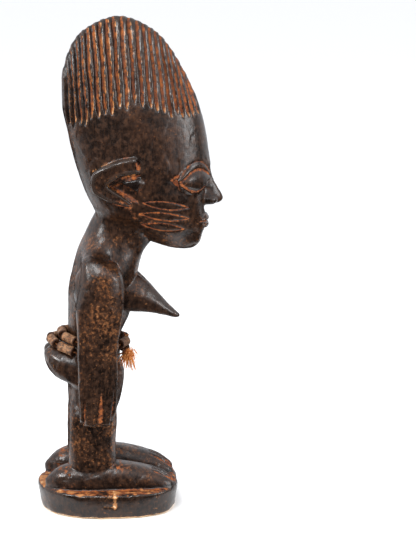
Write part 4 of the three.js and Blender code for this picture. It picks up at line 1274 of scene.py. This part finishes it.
for label, knot_place in strands.items():
    knot = point(*knot_place)
    stops = [knot]
    for name in bead_names:
        if label in name:
            centre, axis = bead_axes[name]
            if axis @ Vector(centre - Vector(stops[-1])) < 0:
                axis = -axis
            stops.append(np.array(centre - axis * (BEAD_HALF + STRING_PLAY)))
            stops.append(np.array(centre + axis * (BEAD_HALF + STRING_PLAY)))
    stops.append(knot)
    stops = np.array(stops)
    lengths = np.concatenate([[0], np.cumsum(np.linalg.norm(np.diff(stops, axis=0), axis=1))])
    reach = np.arange(0, lengths[-1], TWIST / STEPS_IN_TWIST)
    line = np.stack([np.interp(reach, lengths, stops[:, axis]) for axis in range(3)], axis=1)
    way = unit(np.gradient(line, axis=0))
    level = unit(np.cross(way, (0, 0, 1)))
    across = np.cross(level, way)

    curve = bpy.data.curves.new("string_" + label, "CURVE")
    curve.dimensions = "3D"
    curve.bevel_depth = PLY_RADIUS
    curve.bevel_resolution = 2
    curve.use_fill_caps = True
    for finish in fibre_finishes:
        curve.materials.append(finish)
    for ply in (0, math.pi):
        angle = reach / TWIST * 2 * math.pi + ply
        around = level * np.cos(angle)[:, None] + across * np.sin(angle)[:, None]
        spline(curve, line + around * PLY_RADIUS * 0.85, 1.0, RUN)

    # A hard overhand knot, pulled tight
    turn = np.linspace(0, 2 * math.pi, KNOT_STEPS, endpoint=False)
    loops = np.stack(
        [
            np.sin(turn) + 2 * np.sin(2 * turn),
            -np.sin(3 * turn) * 1.4,
            np.cos(turn) - 2 * np.cos(2 * turn),
        ],
        axis=1,
    )
    spline(curve, knot + loops / 3 * KNOT_REACH * 0.72, 2.1, RUN, closed=True)

    for way_points in loose_ends[label]:
        way_points = np.array(way_points)
        for fibre in range(FIBRES_IN_END[label]):
            along = np.linspace(0, 1, FIBRE_STEPS)
            middle = rows_at(way_points, along * (len(way_points) - 1)) * MM
            splay = chance.normal(0, 1, 3) * SPLAY
            curl = chance.uniform(0.15, 0.4) * MM
            curl = curl * np.sin(along * chance.uniform(4, 9) + chance.uniform(0, 6))
            length = chance.uniform(0.8, 1.04)
            offset = along[:, None] ** 1.2 * splay + curl[:, None] * unit(chance.normal(0, 1, 3))
            spots = knot + point(middle[:, 0], middle[:, 1], middle[:, 2]) * length + offset
            spline(curve, spots, 0.85 - 0.45 * along, LOOSE)

    tied = bpy.data.objects.new("tied_string_" + label, curve)
    bpy.context.collection.objects.link(tied)
    mesh = bpy.data.meshes.new_from_object(tied.evaluated_get(bpy.context.evaluated_depsgraph_get()))
    bpy.data.objects.remove(tied)
    tied = bpy.data.objects.new("tied_string_" + label, mesh)
    bpy.context.collection.objects.link(tied)
    mesh.polygons.foreach_set("use_smooth", [True] * len(mesh.polygons))
    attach(tied, "root")
    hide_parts("string_" + label)

# The studio: a white ground that runs out of view, an even pale sky, and three small lamps, behind the
# figure's right shoulder, in front of it and above its right side. The camera stands 1.2 m off, a little
# above.
floor_shape = bmesh.new()
bmesh.ops.create_grid(floor_shape, x_segments=1, y_segments=1, size=12)
floor_mesh = bpy.data.meshes.new("floor")
floor_shape.to_mesh(floor_mesh)
floor_shape.free()
floor = bpy.data.objects.new("floor", floor_mesh)
bpy.context.collection.objects.link(floor)
paper = bpy.data.materials.new("white_paper")
paper.use_nodes = True
paper.node_tree.nodes["Principled BSDF"].inputs["Base Color"].default_value = linear("#fbfbfa")
paper.node_tree.nodes["Principled BSDF"].inputs["Roughness"].default_value = 0.9
floor_mesh.materials.append(paper)

bpy.context.scene.view_settings.view_transform = "Standard"
sky = bpy.data.worlds.new("pale_sky")
sky.use_nodes = True
sky.node_tree.nodes["Background"].inputs["Color"].default_value = linear("#f8faff")
sky.node_tree.nodes["Background"].inputs["Strength"].default_value = 1.05
bpy.context.scene.world = sky

# Black cards stand and lie round the figure and show in reflections alone, so that polished wood stays dark
# where it faces them. A row is: name, middle, width, height, turn about X, turn about Z.
black = bpy.data.materials.new("black_card")
black.use_nodes = True
black.node_tree.nodes["Principled BSDF"].inputs["Base Color"].default_value = linear("#030303")
black.node_tree.nodes["Principled BSDF"].inputs["Specular IOR Level"].default_value = 0.0
for name, middle, wide, high, lean, turn in [
    ("card_side", (-1.6, 0, 0.5), 1.7, 1.0, 90, 90),
    ("card_back", (-1.0, 1.25, 0.5), 1.3, 1.0, 90, 39),
    ("card_side_low", (-0.77, 0.1, 0.002), 2.2, 1.45, 0, 90),
    ("card_front", (0, -1.6, 0.35), 0.8, 0.7, 90, 0),
    ("card_front_low", (0, -0.9, 0.002), 0.6, 1.4, 0, 0),
    ("card_far_low", (0.27, 0, 0.002), 0.34, 0.38, 0, 90),
    ("card_far_wide", (1.0, 0, 0.002), 2.4, 1.06, 0, 90),
    ("card_back_low", (0, 0.85, 0.002), 0.1, 1.4, 0, 0),
]:
    card_shape = bmesh.new()
    place = Matrix.Translation(middle) @ Matrix.Rotation(math.radians(turn), 4, "Z")
    place = place @ Matrix.Rotation(math.radians(lean), 4, "X") @ Matrix.Diagonal((wide, high, 1, 1))
    bmesh.ops.create_grid(card_shape, x_segments=1, y_segments=1, size=0.5, matrix=place)
    card_mesh = bpy.data.meshes.new(name)
    card_shape.to_mesh(card_mesh)
    card_shape.free()
    card_mesh.materials.append(black)
    card = bpy.data.objects.new(name, card_mesh)
    bpy.context.collection.objects.link(card)
    card.visible_camera = False
    card.visible_diffuse = False
    card.visible_shadow = False

# A row is: name, place, size and strength. Each light looks at the figure's middle.
FIGURE_MIDDLE = Vector((0, 0, 0.15))
for name, place, size, watts in [
    ("key", Vector((-0.6, 1.0, 0.85)), 0.35, 10),
    ("front", Vector((-0.5, -1.15, 0.6)), 0.4, 6),
    ("top", Vector((-0.8, 0.2, 1.2)), 0.35, 9),
]:
    lamp = bpy.data.lights.new(name, "AREA")
    lamp.size = size
    lamp.energy = watts
    light = bpy.data.objects.new(name, lamp)
    light.location = place
    light.rotation_euler = (FIGURE_MIDDLE - place).to_track_quat("-Z", "Y").to_euler()
    bpy.context.collection.objects.link(light)

CAMERA_PLACE = Vector((-1199.3, 41.9, 407.8)) * MM
CAMERA_YAW = math.radians(4.88)
CAMERA_PITCH = math.radians(12.68)
view_axis = Vector((math.cos(CAMERA_YAW), -math.sin(CAMERA_YAW), -math.tan(CAMERA_PITCH)))
lens = bpy.data.cameras.new("camera")
lens.lens = 135.5
lens.sensor_width = 36
camera = bpy.data.objects.new("camera", lens)
camera.location = CAMERA_PLACE
camera.rotation_euler = view_axis.to_track_quat("-Z", "Y").to_euler()
bpy.context.collection.objects.link(camera)
bpy.context.scene.camera = camera
